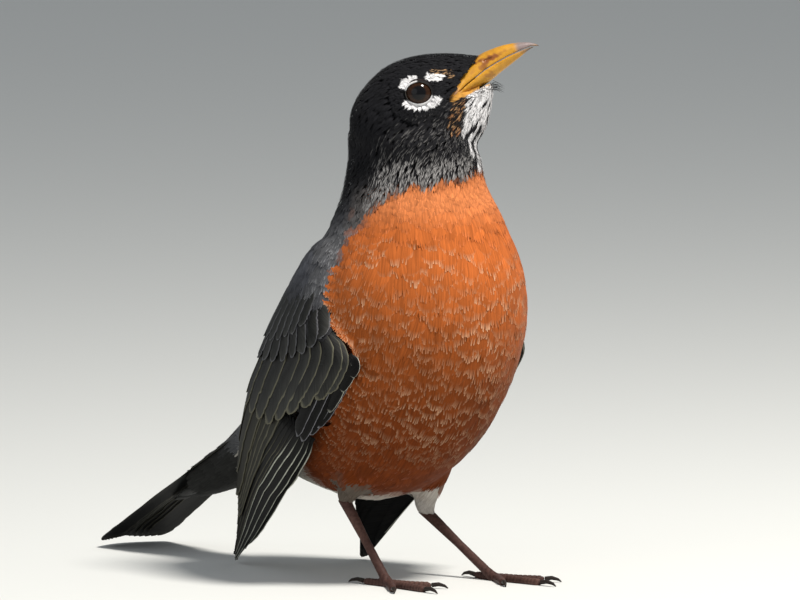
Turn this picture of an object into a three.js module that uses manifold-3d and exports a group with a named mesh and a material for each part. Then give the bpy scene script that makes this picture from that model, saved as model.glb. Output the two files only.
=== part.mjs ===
// American robin, a still life-size model that stands with its head up and its wings drooped.
// Millimetres, +Z up. The bird faces -Y and its left is +X. The floor is the plane z = 0.
// The body is one lofted form that thin cuts part into trunk, neck and head. Wings, legs and
// tail are lofts of their own, cut back where they lie against the body.

import * as THREE from 'three';
import { mergeVertices } from 'three/addons/utils/BufferGeometryUtils.js';
import Module from 'manifold-3d';

const wasm = await Module();
wasm.setup();

// ---- Driving sizes -------------------------------------------------------------------------

const GAP = 0.3; // clear space between neighbouring pieces
const CLEARANCE = 0.35; // growth of a form that a neighbour is cut back from, with room for its facets

const HEAD_CENTRE = [0.4, 6.7, 133];
const HEAD_TURN = 52.3; // degrees, to the bird's left
const HEAD_PITCH = 24.9; // degrees, bill up
const HEAD_ROLL = 5.8; // degrees, crown to the left

const EYE_RADIUS = 4.4;
const EYE_FORWARD = 1.0;
const EYE_SIDE = 9.5;
const EYE_HEIGHT = 2.6;
const ORBIT_RADIUS = 9; // curvature of the shallow dish that each eye sits in
const ORBIT_FLOOR = 12.0; // distance of the dish's deepest point from the head's middle plane

const BILL_ROOT = 9.5; // corner of the mouth, forward of the head's centre
const BILL_TIP = 36.9;

const NECK_BASE = { point: [0, 5, 99], normal: [0, -0.12, 1] };
const HEAD_BASE = { point: [0, 9, 118.5], normal: [0.05, -0.1, 1] };

const TARSUS_RADIUS = 1.2;
const TOE_RADIUS = 1.15;
const CLAW_LENGTH = 6;

// ---- Colours -------------------------------------------------------------------------------

function paint(color, roughness) {
  return new THREE.MeshStandardMaterial({ color, roughness, metalness: 0 });
}

const PAINTS = {
  breast: paint(0xb4561e, 0.8),
  grey: paint(0x4b4b50, 0.8),
  black: paint(0x1a1a1e, 0.75),
  wing: paint(0x3a383a, 0.7),
  quill: paint(0x232022, 0.65),
  belly: paint(0xc9c5bd, 0.85),
  bill: paint(0xeba51e, 0.4),
  eye: paint(0x160c08, 0.08),
  leg: paint(0x5a4036, 0.55),
  claw: paint(0x2a2422, 0.45),
};

// ---- Small helpers -------------------------------------------------------------------------

function vec(values) {
  return new THREE.Vector3(...values);
}

function radians(degrees) {
  return THREE.MathUtils.degToRad(degrees);
}

// The curve through a list of vectors, read at a share of its stations.
function through(vectors) {
  return new THREE.CatmullRomCurve3(vectors, false, 'catmullrom', 0.5);
}

// A ring of a loft: its centre, and the half-axis vectors to its side, its upper and lower edge.
function ring(centre, side, up, down) {
  return { centre, side, up, down };
}

// Rings between the given ones, `between` to each step, on smooth curves.
function smoothRings(rings, between) {
  const curves = ['centre', 'side', 'up', 'down'].map((key) => through(rings.map((r) => r[key])));
  const count = (rings.length - 1) * between;
  return Array.from({ length: count + 1 }, (_, i) => {
    const [centre, side, up, down] = curves.map((curve) => curve.getPoint(i / count));
    return ring(centre, side, up, down);
  });
}

// A closed solid through rings. `blunt` under 1 fills the corners of the oval sections.
// `grow` widens every ring and lengthens both ends by that distance.
function loft(rings, { around = 24, between = 3, blunt = 1, grow = 0 } = {}) {
  const steps = smoothRings(rings, between);
  const last = steps.length - 1;
  const positions = [];
  const longer = (v) => v.clone().setLength(v.length() + grow);
  const endShift = (from, to) => to.centre.clone().sub(from.centre).setLength(grow);

  steps.forEach((step, index) => {
    const centre = step.centre.clone();
    if (grow > 0 && index === 0) centre.add(endShift(steps[1], steps[0]));
    if (grow > 0 && index === last) centre.add(endShift(steps[last - 1], steps[last]));
    const [side, up, down] = [step.side, step.up, step.down].map(longer);
    for (let k = 0; k < around; k += 1) {
      const angle = (2 * Math.PI * k) / around;
      const across = Math.sign(Math.cos(angle)) * Math.abs(Math.cos(angle)) ** blunt;
      const depth = Math.abs(Math.sin(angle)) ** blunt;
      const point = centre.clone().addScaledVector(side, across);
      point.addScaledVector(Math.sin(angle) >= 0 ? up : down, depth);
      positions.push(point);
    }
    if (index === 0 || index === last) positions.push(centre);
  });

  const startPole = around;
  const endPole = positions.length - 1;
  const first = (index) => (index === 0 ? 0 : index * around + 1);
  const faces = [];
  for (let k = 0; k < around; k += 1) {
    const next = (k + 1) % around;
    faces.push([startPole, next, k]);
    for (let index = 0; index < last; index += 1) {
      const a = first(index);
      const b = first(index + 1);
      faces.push([a + k, a + next, b + next], [a + k, b + next, b + k]);
    }
    faces.push([endPole, first(last) + k, first(last) + next]);
  }
  return solid(positions, faces);
}

// A manifold solid from points and faces, turned right side out if its faces point inward.
function solid(points, faces) {
  const volume = faces.reduce((sum, [a, b, c]) => {
    return sum + points[a].dot(points[b].clone().cross(points[c]));
  }, 0);
  const triVerts = new Uint32Array(faces.flatMap(([a, b, c]) => (volume > 0 ? [a, b, c] : [a, c, b])));
  const vertProperties = new Float32Array(points.flatMap((p) => p.toArray()));
  return new wasm.Manifold(new wasm.Mesh({ numProp: 3, vertProperties, triVerts }));
}

// A manifold solid from a three.js geometry.
function fromGeometry(geometry) {
  const bare = geometry.clone();
  bare.deleteAttribute('normal');
  bare.deleteAttribute('uv');
  const merged = mergeVertices(bare, 1e-4);
  return new wasm.Manifold(
    new wasm.Mesh({
      numProp: 3,
      vertProperties: new Float32Array(merged.attributes.position.array),
      triVerts: new Uint32Array(merged.index.array),
    }),
  );
}

function ball(centre, radius) {
  const geometry = new THREE.SphereGeometry(radius, 12, 9).translate(centre.x, centre.y, centre.z);
  return fromGeometry(geometry);
}

// Everything on the side of a plane that its normal points to, starting `offset` beyond it.
function beyond(plane, offset = 0) {
  const REACH = 400;
  const normal = vec(plane.normal).normalize();
  const geometry = new THREE.BoxGeometry(REACH, REACH, REACH);
  geometry.translate(0, 0, REACH / 2 + offset);
  geometry.applyQuaternion(new THREE.Quaternion().setFromUnitVectors(new THREE.Vector3(0, 0, 1), normal));
  geometry.translate(...plane.point);
  return fromGeometry(geometry);
}

function opposite(plane) {
  return { point: plane.point, normal: plane.normal.map((n) => -n) };
}

// The part of a solid on the far (+) or near (-) side of a thin cut along a plane.
function farSide(body, plane) {
  return body.intersect(beyond(plane, GAP / 2));
}

function nearSide(body, plane) {
  return body.intersect(beyond(opposite(plane), GAP / 2));
}

// The largest of the separate bodies that a cut leaves.
function mainBody(body) {
  const pieces = body.decompose();
  return pieces.reduce((best, piece) => (piece.volume() > best.volume() ? piece : best));
}

const FLOOR = { point: [0, 0, 0], normal: [0, 0, 1] };

function onFloor(body) {
  return body.intersect(beyond(FLOOR));
}

const robin = new THREE.Group();
robin.name = 'american_robin';

function add(name, body, material) {
  const mesh = mainBody(body).getMesh();
  const geometry = new THREE.BufferGeometry();
  geometry.setAttribute('position', new THREE.BufferAttribute(new Float32Array(mesh.vertProperties), 3));
  geometry.setIndex(new THREE.BufferAttribute(new Uint32Array(mesh.triVerts), 1));
  geometry.computeVertexNormals();
  const piece = new THREE.Mesh(geometry, material);
  piece.name = name;
  robin.add(piece);
}

// ---- Trunk and neck ------------------------------------------------------------------------

// Each ring is given by its belly point and back point as y and z, its half width, and, where the
// turned neck carries it off the middle plane, its x. The list runs from the vent up to the
// inside of the head.
const TRUNK_RINGS = [
  { belly: [72, 31], back: [74, 38], half: 5 },
  { belly: [66, 28], back: [73, 43], half: 9 },
  { belly: [54, 25.5], back: [68, 49], half: 13 },
  { belly: [40, 22.5], back: [62, 57], half: 17.5 },
  { belly: [24, 21], back: [57, 65], half: 22 },
  { belly: [8, 26], back: [52, 72], half: 26.5 },
  { belly: [-5, 35], back: [47, 79], half: 29.5 },
  { belly: [-14.5, 47], back: [43, 85], half: 31 },
  { belly: [-21, 60], back: [39, 90], half: 31 },
  { belly: [-24, 72], back: [35.5, 94], half: 30 },
  { belly: [-24, 84], back: [32.5, 98], half: 27.5 },
  { belly: [-21, 94], back: [31, 102.5], half: 24.5 },
  { belly: [-17, 103], back: [29.5, 107], half: 21.5 },
  { belly: [-13, 110], back: [29, 112], half: 19 },
  { belly: [-12, 117.5], back: [29.5, 119], half: 17, x: 0.5 },
  { belly: [-10.5, 123.5], back: [28.5, 125.5], half: 15, x: -1.5 },
  { belly: [-5, 128.5], back: [21, 130], half: 9, x: -3 },
];

function trunkRings() {
  return TRUNK_RINGS.map(({ belly, back, half, x = 0 }) => {
    const low = new THREE.Vector3(x, ...belly);
    const high = new THREE.Vector3(x, ...back);
    const up = high.clone().sub(low).multiplyScalar(0.5);
    return ring(low.clone().add(up), new THREE.Vector3(half, 0, 0), up, up.clone().negate());
  });
}

const TRUNK_SECTION = { around: 24, between: 2 };
const trunkForm = loft(trunkRings(), TRUNK_SECTION);
const trunkClear = loft(trunkRings(), { ...TRUNK_SECTION, grow: CLEARANCE });

// ---- Head ----------------------------------------------------------------------------------

const headFrame = new THREE.Matrix4()
  .makeTranslation(...HEAD_CENTRE)
  .multiply(new THREE.Matrix4().makeRotationZ(radians(HEAD_TURN)))
  .multiply(new THREE.Matrix4().makeRotationX(radians(-HEAD_PITCH)))
  .multiply(new THREE.Matrix4().makeRotationY(radians(HEAD_ROLL)));

// A place in the head: forward, to its right side, and up, from the head's centre.
function inHead(forward, right, up) {
  return new THREE.Vector3(-right, -forward, up).applyMatrix4(headFrame);
}

// A ring across the head or the bill, upright at one place along it.
function headRing(forward, top, bottom, half) {
  const middle = (top + bottom) / 2;
  const centre = inHead(forward, 0, middle);
  const side = inHead(forward, half, middle).sub(centre);
  const up = inHead(forward, 0, top).sub(centre);
  return ring(centre, side, up, up.clone().negate());
}

const HEAD_RINGS = [
  [-20.8, 1, -3, 3],
  [-19, 5.3, -8, 8.5],
  [-14, 9.9, -12.5, 12],
  [-5, 13.5, -15.5, 13.8],
  [3, 13.2, -17, 13.4],
  [9, 11.4, -17, 10.8],
  [14, 9.2, -14, 7.6],
  [18, 6.9, -9, 5.4],
  [21, 5.2, -4.2, 3.6],
];

const headForm = loft(HEAD_RINGS.map((row) => headRing(...row)), { around: 20, between: 2 });
const bodyForm = trunkForm.add(headForm);

// ---- Bill ----------------------------------------------------------------------------------

// The bill's side outline along its length: ridge of the upper half, line of the closed mouth,
// lower edge, and half width.
const BILL_OUTLINE = [
  { forward: BILL_ROOT, ridge: -1, mouth: -2.2, keel: -3.2, half: 7.6 },
  { forward: 14, ridge: 3.6, mouth: -0.6, keel: -3.6, half: 5.4 },
  { forward: 20.3, ridge: 5.3, mouth: 1.0, keel: -2.6, half: 3.7 },
  { forward: 24, ridge: 5.4, mouth: 1.5, keel: -1.6, half: 2.9 },
  { forward: 28, ridge: 5.0, mouth: 1.8, keel: -0.7, half: 2.2 },
  { forward: 32, ridge: 3.9, mouth: 1.75, keel: 0.3, half: 1.4 },
  { forward: 35, ridge: 2.5, mouth: 1.5, keel: 0.9, half: 0.75 },
  { forward: BILL_TIP, ridge: 0.9, mouth: 0.5, keel: 0.3, half: 0.2 },
];

// The bare strip of the face beside the bill, from the corner of the mouth to the bill's base.
const FACE_NOTCH = [
  [8.5, -1.9, -2.5, 10],
  [14, 0.9, -2.9, 9],
  [20.3, 5.6, -3.2, 8],
  [26, 7, -3, 8],
];

// The whole closed bill, or a grown one that clears it.
function billLoft(options) {
  const rings = BILL_OUTLINE.map((row) => headRing(row.forward, row.ridge, row.keel, row.half));
  return loft(rings, { around: 12, between: 2, ...options });
}

const billWhole = billLoft();
const billClear = billLoft({ grow: CLEARANCE });
const faceNotch = loft(FACE_NOTCH.map((row) => headRing(...row)), { around: 12, between: 1 });

// A sheet that follows the mouth line, `thick` deep, reaching past both sides of the bill.
function mouthSheet(thick, upward) {
  const REACH = 12;
  const rows = [{ forward: BILL_ROOT - REACH, mouth: -4 }, ...BILL_OUTLINE, { forward: BILL_TIP + 4, mouth: 0.2 }];
  const points = rows.flatMap(({ forward, mouth }) => {
    const far = mouth + upward * thick;
    return [
      inHead(forward, -REACH, mouth),
      inHead(forward, REACH, mouth),
      inHead(forward, REACH, far),
      inHead(forward, -REACH, far),
    ];
  });
  const faces = [[0, 1, 2], [0, 2, 3]];
  const end = points.length - 4;
  faces.push([end, end + 2, end + 1], [end, end + 3, end + 2]);
  for (let row = 0; row < rows.length - 1; row += 1) {
    for (let k = 0; k < 4; k += 1) {
      const a = row * 4 + k;
      const b = row * 4 + ((k + 1) % 4);
      faces.push([a, a + 4, b + 4], [a, b + 4, b]);
    }
  }
  return solid(points, faces);
}

const aboveMouth = mouthSheet(14, 1);
const mouthGap = mouthSheet(GAP, -1);
add('bill_upper', billWhole.intersect(aboveMouth), PAINTS.bill);
add('bill_lower', billWhole.subtract(aboveMouth).subtract(mouthGap), PAINTS.bill);

// ---- Eyes ----------------------------------------------------------------------------------

let headSolid = farSide(bodyForm, HEAD_BASE).subtract(billClear).subtract(faceNotch);
for (const [side, right] of [['right', 1], ['left', -1]]) {
  const centre = inHead(EYE_FORWARD, right * EYE_SIDE, EYE_HEIGHT);
  const dish = inHead(EYE_FORWARD, right * (ORBIT_FLOOR + ORBIT_RADIUS), EYE_HEIGHT);
  headSolid = headSolid.subtract(ball(centre, EYE_RADIUS + GAP)).subtract(ball(dish, ORBIT_RADIUS));
  add(`eye_${side}`, ball(centre, EYE_RADIUS), PAINTS.eye);
}

// ---- Wings ---------------------------------------------------------------------------------

// Each row is a ring across the wing: a place on its front edge, one on its back edge, how far
// it swells outward, and its thickness inward. The rows run from the shoulder to the tip.
const RIGHT_WING = [
  { front: [-23, 8, 96.5], rear: [-19, 20, 98], swell: 0.9, inward: 1.5 },
  { front: [-26, 9, 91], rear: [-18, 28, 93], swell: 4, inward: 3 },
  { front: [-29, 8.5, 83], rear: [-15, 38.5, 84], swell: 5.4, inward: 3 },
  { front: [-31, 6, 74], rear: [-12, 50, 71], swell: 7.5, inward: 3 },
  { front: [-32, -3.5, 64.5], rear: [-11, 58, 59], swell: 9, inward: 3 },
  { front: [-30.5, 3, 55], rear: [-11, 62.5, 51], swell: 8.5, inward: 3 },
  { front: [-28, 15.5, 41], rear: [-11, 67, 39], swell: 7, inward: 2 },
  { front: [-24.5, 30, 27.5], rear: [-10.8, 71, 26], swell: 4.5, inward: 1.4 },
  { front: [-18, 53.5, 10.8], rear: [-10.3, 74.5, 10], swell: 2, inward: 0.9 },
  { front: [-12, 73, 0.3], rear: [-9, 78, -0.4], swell: 0.8, inward: 0.7 },
];

const LEFT_WING = [
  { front: [23, 8, 96.5], rear: [19, 20, 98], swell: 0.9, inward: 1.5 },
  { front: [26, 9, 91], rear: [18, 28, 93], swell: 4, inward: 3 },
  { front: [29, 8.5, 83], rear: [15, 38.5, 84], swell: 5.4, inward: 3 },
  { front: [30.5, 6, 74], rear: [12, 50, 71], swell: 7.5, inward: 3 },
  { front: [30.7, -2, 64.5], rear: [12, 56, 58], swell: 9, inward: 3 },
  { front: [30.5, 3, 55], rear: [13, 57, 50], swell: 8.5, inward: 3 },
  { front: [30, 15.5, 40], rear: [15, 58, 38], swell: 7, inward: 2 },
  { front: [28.5, 28, 27.5], rear: [17, 58.5, 27], swell: 4.5, inward: 1.4 },
  { front: [27, 46, 11.5], rear: [21.5, 59.5, 10.5], swell: 1.6, inward: 0.9 },
  { front: [26, 58, 0.3], rear: [24, 62, -0.4], swell: 0.8, inward: 0.7 },
];

function wingRings(rows) {
  const middle = (row) => vec(row.front).add(vec(row.rear)).multiplyScalar(0.5);
  return rows.map((row, index) => {
    const before = middle(rows[Math.max(index - 1, 0)]);
    const after = middle(rows[Math.min(index + 1, rows.length - 1)]);
    const centre = middle(row);
    const side = vec(row.rear).sub(centre);
    const outward = side.clone().cross(after.sub(before)).normalize();
    if (outward.x * centre.x < 0) outward.negate();
    const out = outward.clone().multiplyScalar(row.swell);
    return ring(centre, side, out, outward.multiplyScalar(-row.inward));
  });
}

// The cuts that part a wing: coverts from flight feathers, and secondaries from primaries.
function wingCuts(right) {
  return {
    covertEnd: { point: [right * -24, 30, 47], normal: [right * -0.05, 0.25, -1] },
    primaryEdge: { point: [right * -20, 48, 30], normal: [right * -0.12, -0.8, -0.55] },
  };
}

const WING_SECTION = { around: 14, between: 2, blunt: 0.75 };

function buildWing(side, rows, right) {
  const clear = onFloor(loft(wingRings(rows), WING_SECTION)).subtract(trunkClear);
  const cuts = wingCuts(right);
  const flight = farSide(clear, cuts.covertEnd);
  add(`wing_${side}_coverts`, nearSide(clear, cuts.covertEnd), PAINTS.wing);
  add(`wing_${side}_secondaries`, nearSide(flight, cuts.primaryEdge), PAINTS.wing);
  add(`wing_${side}_primaries`, farSide(flight, cuts.primaryEdge), PAINTS.quill);
}

buildWing('right', RIGHT_WING, 1);
buildWing('left', LEFT_WING, -1);

// ---- Tail ----------------------------------------------------------------------------------

const TAIL_ROOT = [0, 66, 44];
const TAIL_END = [0, 134, 2.4];

// A ring across the tail or its coverts at a share of the way from root to end.
function tailRing(share, half, above, below) {
  const root = vec(TAIL_ROOT);
  const along = vec(TAIL_END).sub(root);
  const normal = along.clone().cross(new THREE.Vector3(-1, 0, 0)).normalize();
  const centre = root.addScaledVector(along, share).addScaledVector(normal, (above - below) / 2);
  const up = normal.multiplyScalar((above + below) / 2);
  return ring(centre, new THREE.Vector3(half, 0, 0), up, up.clone().negate());
}

const TAIL_FEATHERS = [
  [0.16, 7, 0.7, 0.7],
  [0.4, 9, 0.75, 0.75],
  [0.7, 10.8, 0.65, 0.65],
  [0.93, 11.6, 0.55, 0.55],
  [1, 11, 0.4, 0.4],
];

const TAIL_COVERTS = [
  [-0.12, 10, 4, 17],
  [0.08, 9.5, 4.5, 15.5],
  [0.25, 8.8, 3, 12.5],
  [0.42, 8, 1.2, 9],
  [0.58, 7, 0.2, 5],
  [0.72, 4, -0.4, 2],
];

const TAIL_SECTION = { around: 12, between: 2, blunt: 0.6 };

const tailRings = TAIL_FEATHERS.map((row) => tailRing(...row));
const tailClear = loft(tailRings, { ...TAIL_SECTION, grow: CLEARANCE });
const coverts = loft(TAIL_COVERTS.map((row) => tailRing(...row)), { around: 12, between: 2 });
add('tail_coverts', coverts.subtract(trunkClear).subtract(tailClear), PAINTS.grey);
add('tail', loft(tailRings, TAIL_SECTION), PAINTS.quill);

// ---- Legs ----------------------------------------------------------------------------------

const LEGS = [
  { side: 'right', outward: -1, hip: [-10, 9, 42], knee: [-11.5, 15, 33], ankle: [-14, 22.5, 23], foot: [-16, 0, 0] },
  { side: 'left', outward: 1, hip: [9, 8, 42], knee: [10.5, 14, 31], ankle: [14, 21, 18], foot: [17, -7, 0] },
];

// Toes: bearing from straight ahead (outward positive), length without the claw, claw length.
const TOES = {
  middle: { bearing: 5, length: 17, claw: 6 },
  inner: { bearing: -32, length: 12, claw: 5 },
  outer: { bearing: 36, length: 13.5, claw: 5 },
  hind: { bearing: 176, length: 10, claw: 6.5 },
};

const THIGH_RADIUS = [6.5, 6.4, 4.2, 2.4];
const FOOT_CUT = 3.6; // height of the cut between tarsus and foot
const TOE_LIFT = 0.8; // height of a toe's middle line over the floor

// A round ring square to the way it is heading.
function roundRing(centre, heading, radius) {
  const side = heading.clone().cross(new THREE.Vector3(0, 0, 1));
  if (side.length() < 0.01) side.set(1, 0, 0);
  side.setLength(radius);
  const up = side.clone().cross(heading).setLength(radius);
  return ring(centre, side, up, up.clone().negate());
}

// A round tube through points, with a radius at each.
function limb(points, radii, options) {
  const rings = points.map((point, index) => {
    const before = points[Math.max(index - 1, 0)];
    const after = points[Math.min(index + 1, points.length - 1)];
    return roundRing(point.clone(), after.clone().sub(before).normalize(), radii[index]);
  });
  return loft(rings, options);
}

function buildLeg({ side, outward, hip, knee, ankle, foot }) {
  const [hipPoint, kneePoint, anklePoint, footPoint] = [hip, knee, ankle, foot].map(vec);
  const shin = kneePoint.clone().lerp(anklePoint, 0.6);
  const feathered = limb([hipPoint, kneePoint, shin, anklePoint], THIGH_RADIUS, { around: 12, between: 2 });

  const heel = anklePoint.clone().lerp(footPoint, -0.04);
  const tarsusPoints = [0, 0.12, 0.5, 0.88, 1].map((share) => heel.clone().lerp(footPoint, share));
  const tarsusRadii = [1.5, 1.35, 1, 1.1, 1.5].map((scale) => scale * TARSUS_RADIUS);
  let leg = feathered.add(limb(tarsusPoints, tarsusRadii, { around: 10, between: 1 }));

  for (const [toe, { bearing, length, claw }] of Object.entries(TOES)) {
    const angle = radians(bearing);
    const heading = new THREE.Vector3(outward * Math.sin(angle), -Math.cos(angle), 0);
    const along = (distance, height) => footPoint.clone().addScaledVector(heading, distance).setZ(height);
    const toePoints = [-1, length * 0.5, length - 1, length].map((distance) => along(distance, TOE_LIFT));
    const toeRadii = [1.25, 1, 0.95, 0.6].map((scale) => scale * TOE_RADIUS);
    leg = leg.add(limb(toePoints, toeRadii, { around: 8, between: 1 }));

    const clawPoints = [
      along(length + GAP, 0.95),
      along(length + claw * 0.45, 1.25),
      along(length + claw * 0.8, 0.85),
      along(length + claw, 0.2),
    ];
    const clawForm = limb(clawPoints, [0.7, 0.6, 0.4, 0.16], { around: 6, between: 1 });
    add(`claw_${side}_${toe}`, onFloor(clawForm), PAINTS.claw);
  }

  const ankleCut = { point: [0, 0, ankle[2] - 0.6], normal: [0, 0, -1] };
  const footCut = { point: [0, 0, FOOT_CUT], normal: [0, 0, -1] };
  const lower = farSide(leg, ankleCut);
  add(`thigh_${side}`, nearSide(leg, ankleCut).subtract(trunkClear), PAINTS.belly);
  add(`tarsus_${side}`, nearSide(lower, footCut), PAINTS.leg);
  add(`foot_${side}`, onFloor(farSide(lower, footCut)), PAINTS.leg);
}

LEGS.forEach(buildLeg);

// ---- Trunk, neck and head nodes ------------------------------------------------------------

const neckAndTrunk = nearSide(bodyForm, HEAD_BASE);
add('trunk', nearSide(neckAndTrunk, NECK_BASE), PAINTS.breast);
add('neck', farSide(neckAndTrunk, NECK_BASE), PAINTS.grey);
add('head', headSolid, PAINTS.black);

// The origin is the middle of the bounding box, at the floor.
const extent = new THREE.Box3().setFromObject(robin);
const middle = extent.getCenter(new THREE.Vector3());
robin.position.set(-middle.x, -middle.y, -extent.min.z);

export default robin;
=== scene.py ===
"""American robin, a still life-size model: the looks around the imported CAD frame.

Shapes are worked out in millimetres of the bird's own frame: it faces -Y, its left is +X, up is
+Z and the floor is z = 0 between its feet. to_row() carries them to the row frame, in metres.
"""

import math

import bmesh
import bpy
import numpy as np
from mathutils import Matrix, Vector
from mathutils.bvhtree import BVHTree
from mathutils.kdtree import KDTree


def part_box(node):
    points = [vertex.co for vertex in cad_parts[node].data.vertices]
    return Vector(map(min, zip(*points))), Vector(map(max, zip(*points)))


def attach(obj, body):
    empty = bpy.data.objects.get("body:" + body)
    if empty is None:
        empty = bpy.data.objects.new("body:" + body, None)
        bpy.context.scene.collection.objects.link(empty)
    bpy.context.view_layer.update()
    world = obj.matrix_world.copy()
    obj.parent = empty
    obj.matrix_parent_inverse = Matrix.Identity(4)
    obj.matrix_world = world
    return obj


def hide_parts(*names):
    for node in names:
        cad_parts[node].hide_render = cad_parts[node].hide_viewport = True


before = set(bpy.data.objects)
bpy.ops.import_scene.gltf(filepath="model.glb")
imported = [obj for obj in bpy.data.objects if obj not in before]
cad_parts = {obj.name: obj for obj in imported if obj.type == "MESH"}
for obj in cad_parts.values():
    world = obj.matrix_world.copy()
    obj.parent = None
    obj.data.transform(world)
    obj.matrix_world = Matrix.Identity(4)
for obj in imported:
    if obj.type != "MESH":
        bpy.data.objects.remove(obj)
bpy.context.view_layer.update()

MM = 0.001
rng = np.random.default_rng(7)


# ---- Head frame and origin -------------------------------------------------------------------

HEAD_CENTRE = np.array([0.4, 6.7, 133.0])
HEAD_TURN = math.radians(52.3)
HEAD_PITCH = math.radians(24.9)
HEAD_ROLL = math.radians(5.8)
EYE_PLACE = (1.0, 9.5, 2.6)  # forward, to the side and up from the head's centre
EYE_RADIUS = 4.4
LID_LONG = 3.55  # half the opening between the lids, along and across its tilt
LID_SHORT = 2.95
LID_TILT = math.radians(-25)


def turn_matrix(axis, angle):
    return np.array(Matrix.Rotation(angle, 3, axis))


HEAD_AXES = turn_matrix("Z", HEAD_TURN) @ turn_matrix("X", -HEAD_PITCH) @ turn_matrix("Y", HEAD_ROLL)


def in_head(forward, right, up):
    """A place in the head, from its centre: forward, to the bird's right, and up."""
    return HEAD_CENTRE + HEAD_AXES @ np.array([-right, -forward, up], float)


def head_local(points):
    """Forward, right and up of points, from the head's centre, as the columns of an array."""
    local = (points - HEAD_CENTRE) @ HEAD_AXES
    return np.stack([-local[:, 1], -local[:, 0], local[:, 2]], 1)


def node_centre(name):
    low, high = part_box(name)
    return np.array((low + high) / 2) / MM


EYE_MIDDLE = in_head(EYE_PLACE[0], 0, EYE_PLACE[2])
ORIGIN = (node_centre("eye_right") + node_centre("eye_left")) / 2 - EYE_MIDDLE


def to_row(points):
    return (np.asarray(points, float) + ORIGIN) * MM


def to_bird(points):
    return np.asarray(points, float) / MM - ORIGIN


def rgb(red, green, blue):
    return np.array([red, green, blue])


def unit(vectors):
    return vectors / np.maximum(np.linalg.norm(vectors, axis=-1, keepdims=True), 1e-9)


def smoothstep(low, high, x):
    t = np.clip((x - low) / (high - low), 0, 1)
    return t * t * (3 - 2 * t)


def mix(a, b, t):
    t = np.asarray(t, float)
    if np.ndim(t):
        t = t[..., None]
    return np.asarray(a, float) * (1 - t) + np.asarray(b, float) * t


# ---- Mesh making -----------------------------------------------------------------------------


def add_object(name, data):
    thing = bpy.data.objects.new(name, data)
    bpy.context.scene.collection.objects.link(thing)
    return thing


def make_mesh(name, points, faces, colours, uv, material):
    """A smooth piece from points in the bird's frame and an array of triangles or quads."""
    mesh = bpy.data.meshes.new(name)
    faces = np.asarray(faces, np.int32)
    corners = faces.shape[1]
    mesh.vertices.add(len(points))
    mesh.vertices.foreach_set("co", to_row(points).astype(np.float32).ravel())
    mesh.loops.add(faces.size)
    mesh.loops.foreach_set("vertex_index", faces.ravel())
    mesh.polygons.add(len(faces))
    mesh.polygons.foreach_set("loop_start", np.arange(0, faces.size, corners, dtype=np.int32))
    mesh.polygons.foreach_set("loop_total", np.full(len(faces), corners, np.int32))
    mesh.polygons.foreach_set("use_smooth", np.ones(len(faces), bool))
    mesh.update(calc_edges=True)
    layer = mesh.uv_layers.new(name="OFBake")
    layer.data.foreach_set("uv", np.asarray(uv, np.float32)[faces.ravel()].ravel())
    paint(mesh, colours)
    mesh.materials.append(material)
    return add_object(name, mesh)


def paint(mesh, colours):
    """One colour for each vertex, in the attribute that the coat's materials read."""
    rgba = np.ones((len(colours), 4), np.float32)
    rgba[:, :3] = np.clip(colours, 0, 1)
    layer = mesh.color_attributes.new(name="coat", type="FLOAT_COLOR", domain="POINT")
    layer.data.foreach_set("color", rgba.ravel())


def read_rows(items, key, width, kind=np.float32):
    """One property of many mesh items, as rows of width numbers."""
    flat = np.empty(len(items) * width, kind)
    items.foreach_get(key, flat)
    return flat.reshape(-1, width)


def add_barbs(mesh, uv):
    """A second map, along the barbs; the first one stays the map that is rendered."""
    layer = mesh.uv_layers.new(name="barbs")
    corner = read_rows(mesh.loops, "vertex_index", 1, np.int32).ravel()
    layer.data.foreach_set("uv", np.asarray(uv, np.float32)[corner].ravel())
    mesh.uv_layers["OFBake"].active_render = True


def mesh_points(mesh):
    return to_bird(read_rows(mesh.vertices, "co", 3))


def set_mesh_points(mesh, points):
    mesh.vertices.foreach_set("co", to_row(points).astype(np.float32).ravel())
    mesh.update()


def move_along_normals(mesh, distance):
    set_mesh_points(mesh, mesh_points(mesh) + mesh_normals(mesh) * distance)


def mesh_normals(mesh):
    return read_rows(mesh.vertex_normals, "vector", 3).astype(float)


def mesh_faces(mesh):
    """The mesh's triangles as vertex numbers."""
    mesh.calc_loop_triangles()
    return read_rows(mesh.loop_triangles, "vertices", 3, np.int32)


def ring_faces(rings, around, outward):
    """Quads between closed rings of vertices that follow each other."""
    i, j = np.meshgrid(np.arange(rings - 1), np.arange(around), indexing="ij")
    a = (i * around + j).ravel()
    b = (i * around + (j + 1) % around).ravel()
    faces = np.stack([a, b, b + around, a + around], 1)
    return faces if outward else faces[:, ::-1]


# ---- Body axis: the lie of the coat, and the map that the coat is laid out on ----------------

BODY_AXIS = np.array(
    [
        in_head(24, 0, 1.5),
        in_head(12, 0, 0),
        in_head(2, 0, -1),
        in_head(-6, 0, -5),
        [-1.0, 9.5, 119],
        [0, 8, 110],
        [0, 6, 100],
        [0, 5.5, 88],
        [0, 8, 76],
        [0, 14, 64],
        [0, 24, 53],
        [0, 38, 46],
        [0, 53, 42],
        [0, 68, 38],
        [0, 86, 30],
        [0, 110, 17],
    ]
)


def axis_frame(points):
    """Beside each point: the body axis's heading, share of its length passed, and middle."""
    starts, ends = BODY_AXIS[:-1], BODY_AXIS[1:]
    headings = unit(ends - starts)
    middles = (starts + ends) / 2
    away = ((points[:, None, :] - middles[None]) ** 2).sum(2)
    weight = 1 / (away + 60) ** 3
    weight /= weight.sum(1, keepdims=True)
    places = (np.arange(len(middles)) + 0.5) / len(middles)
    return unit(weight @ headings), weight @ places, weight @ middles


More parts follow.
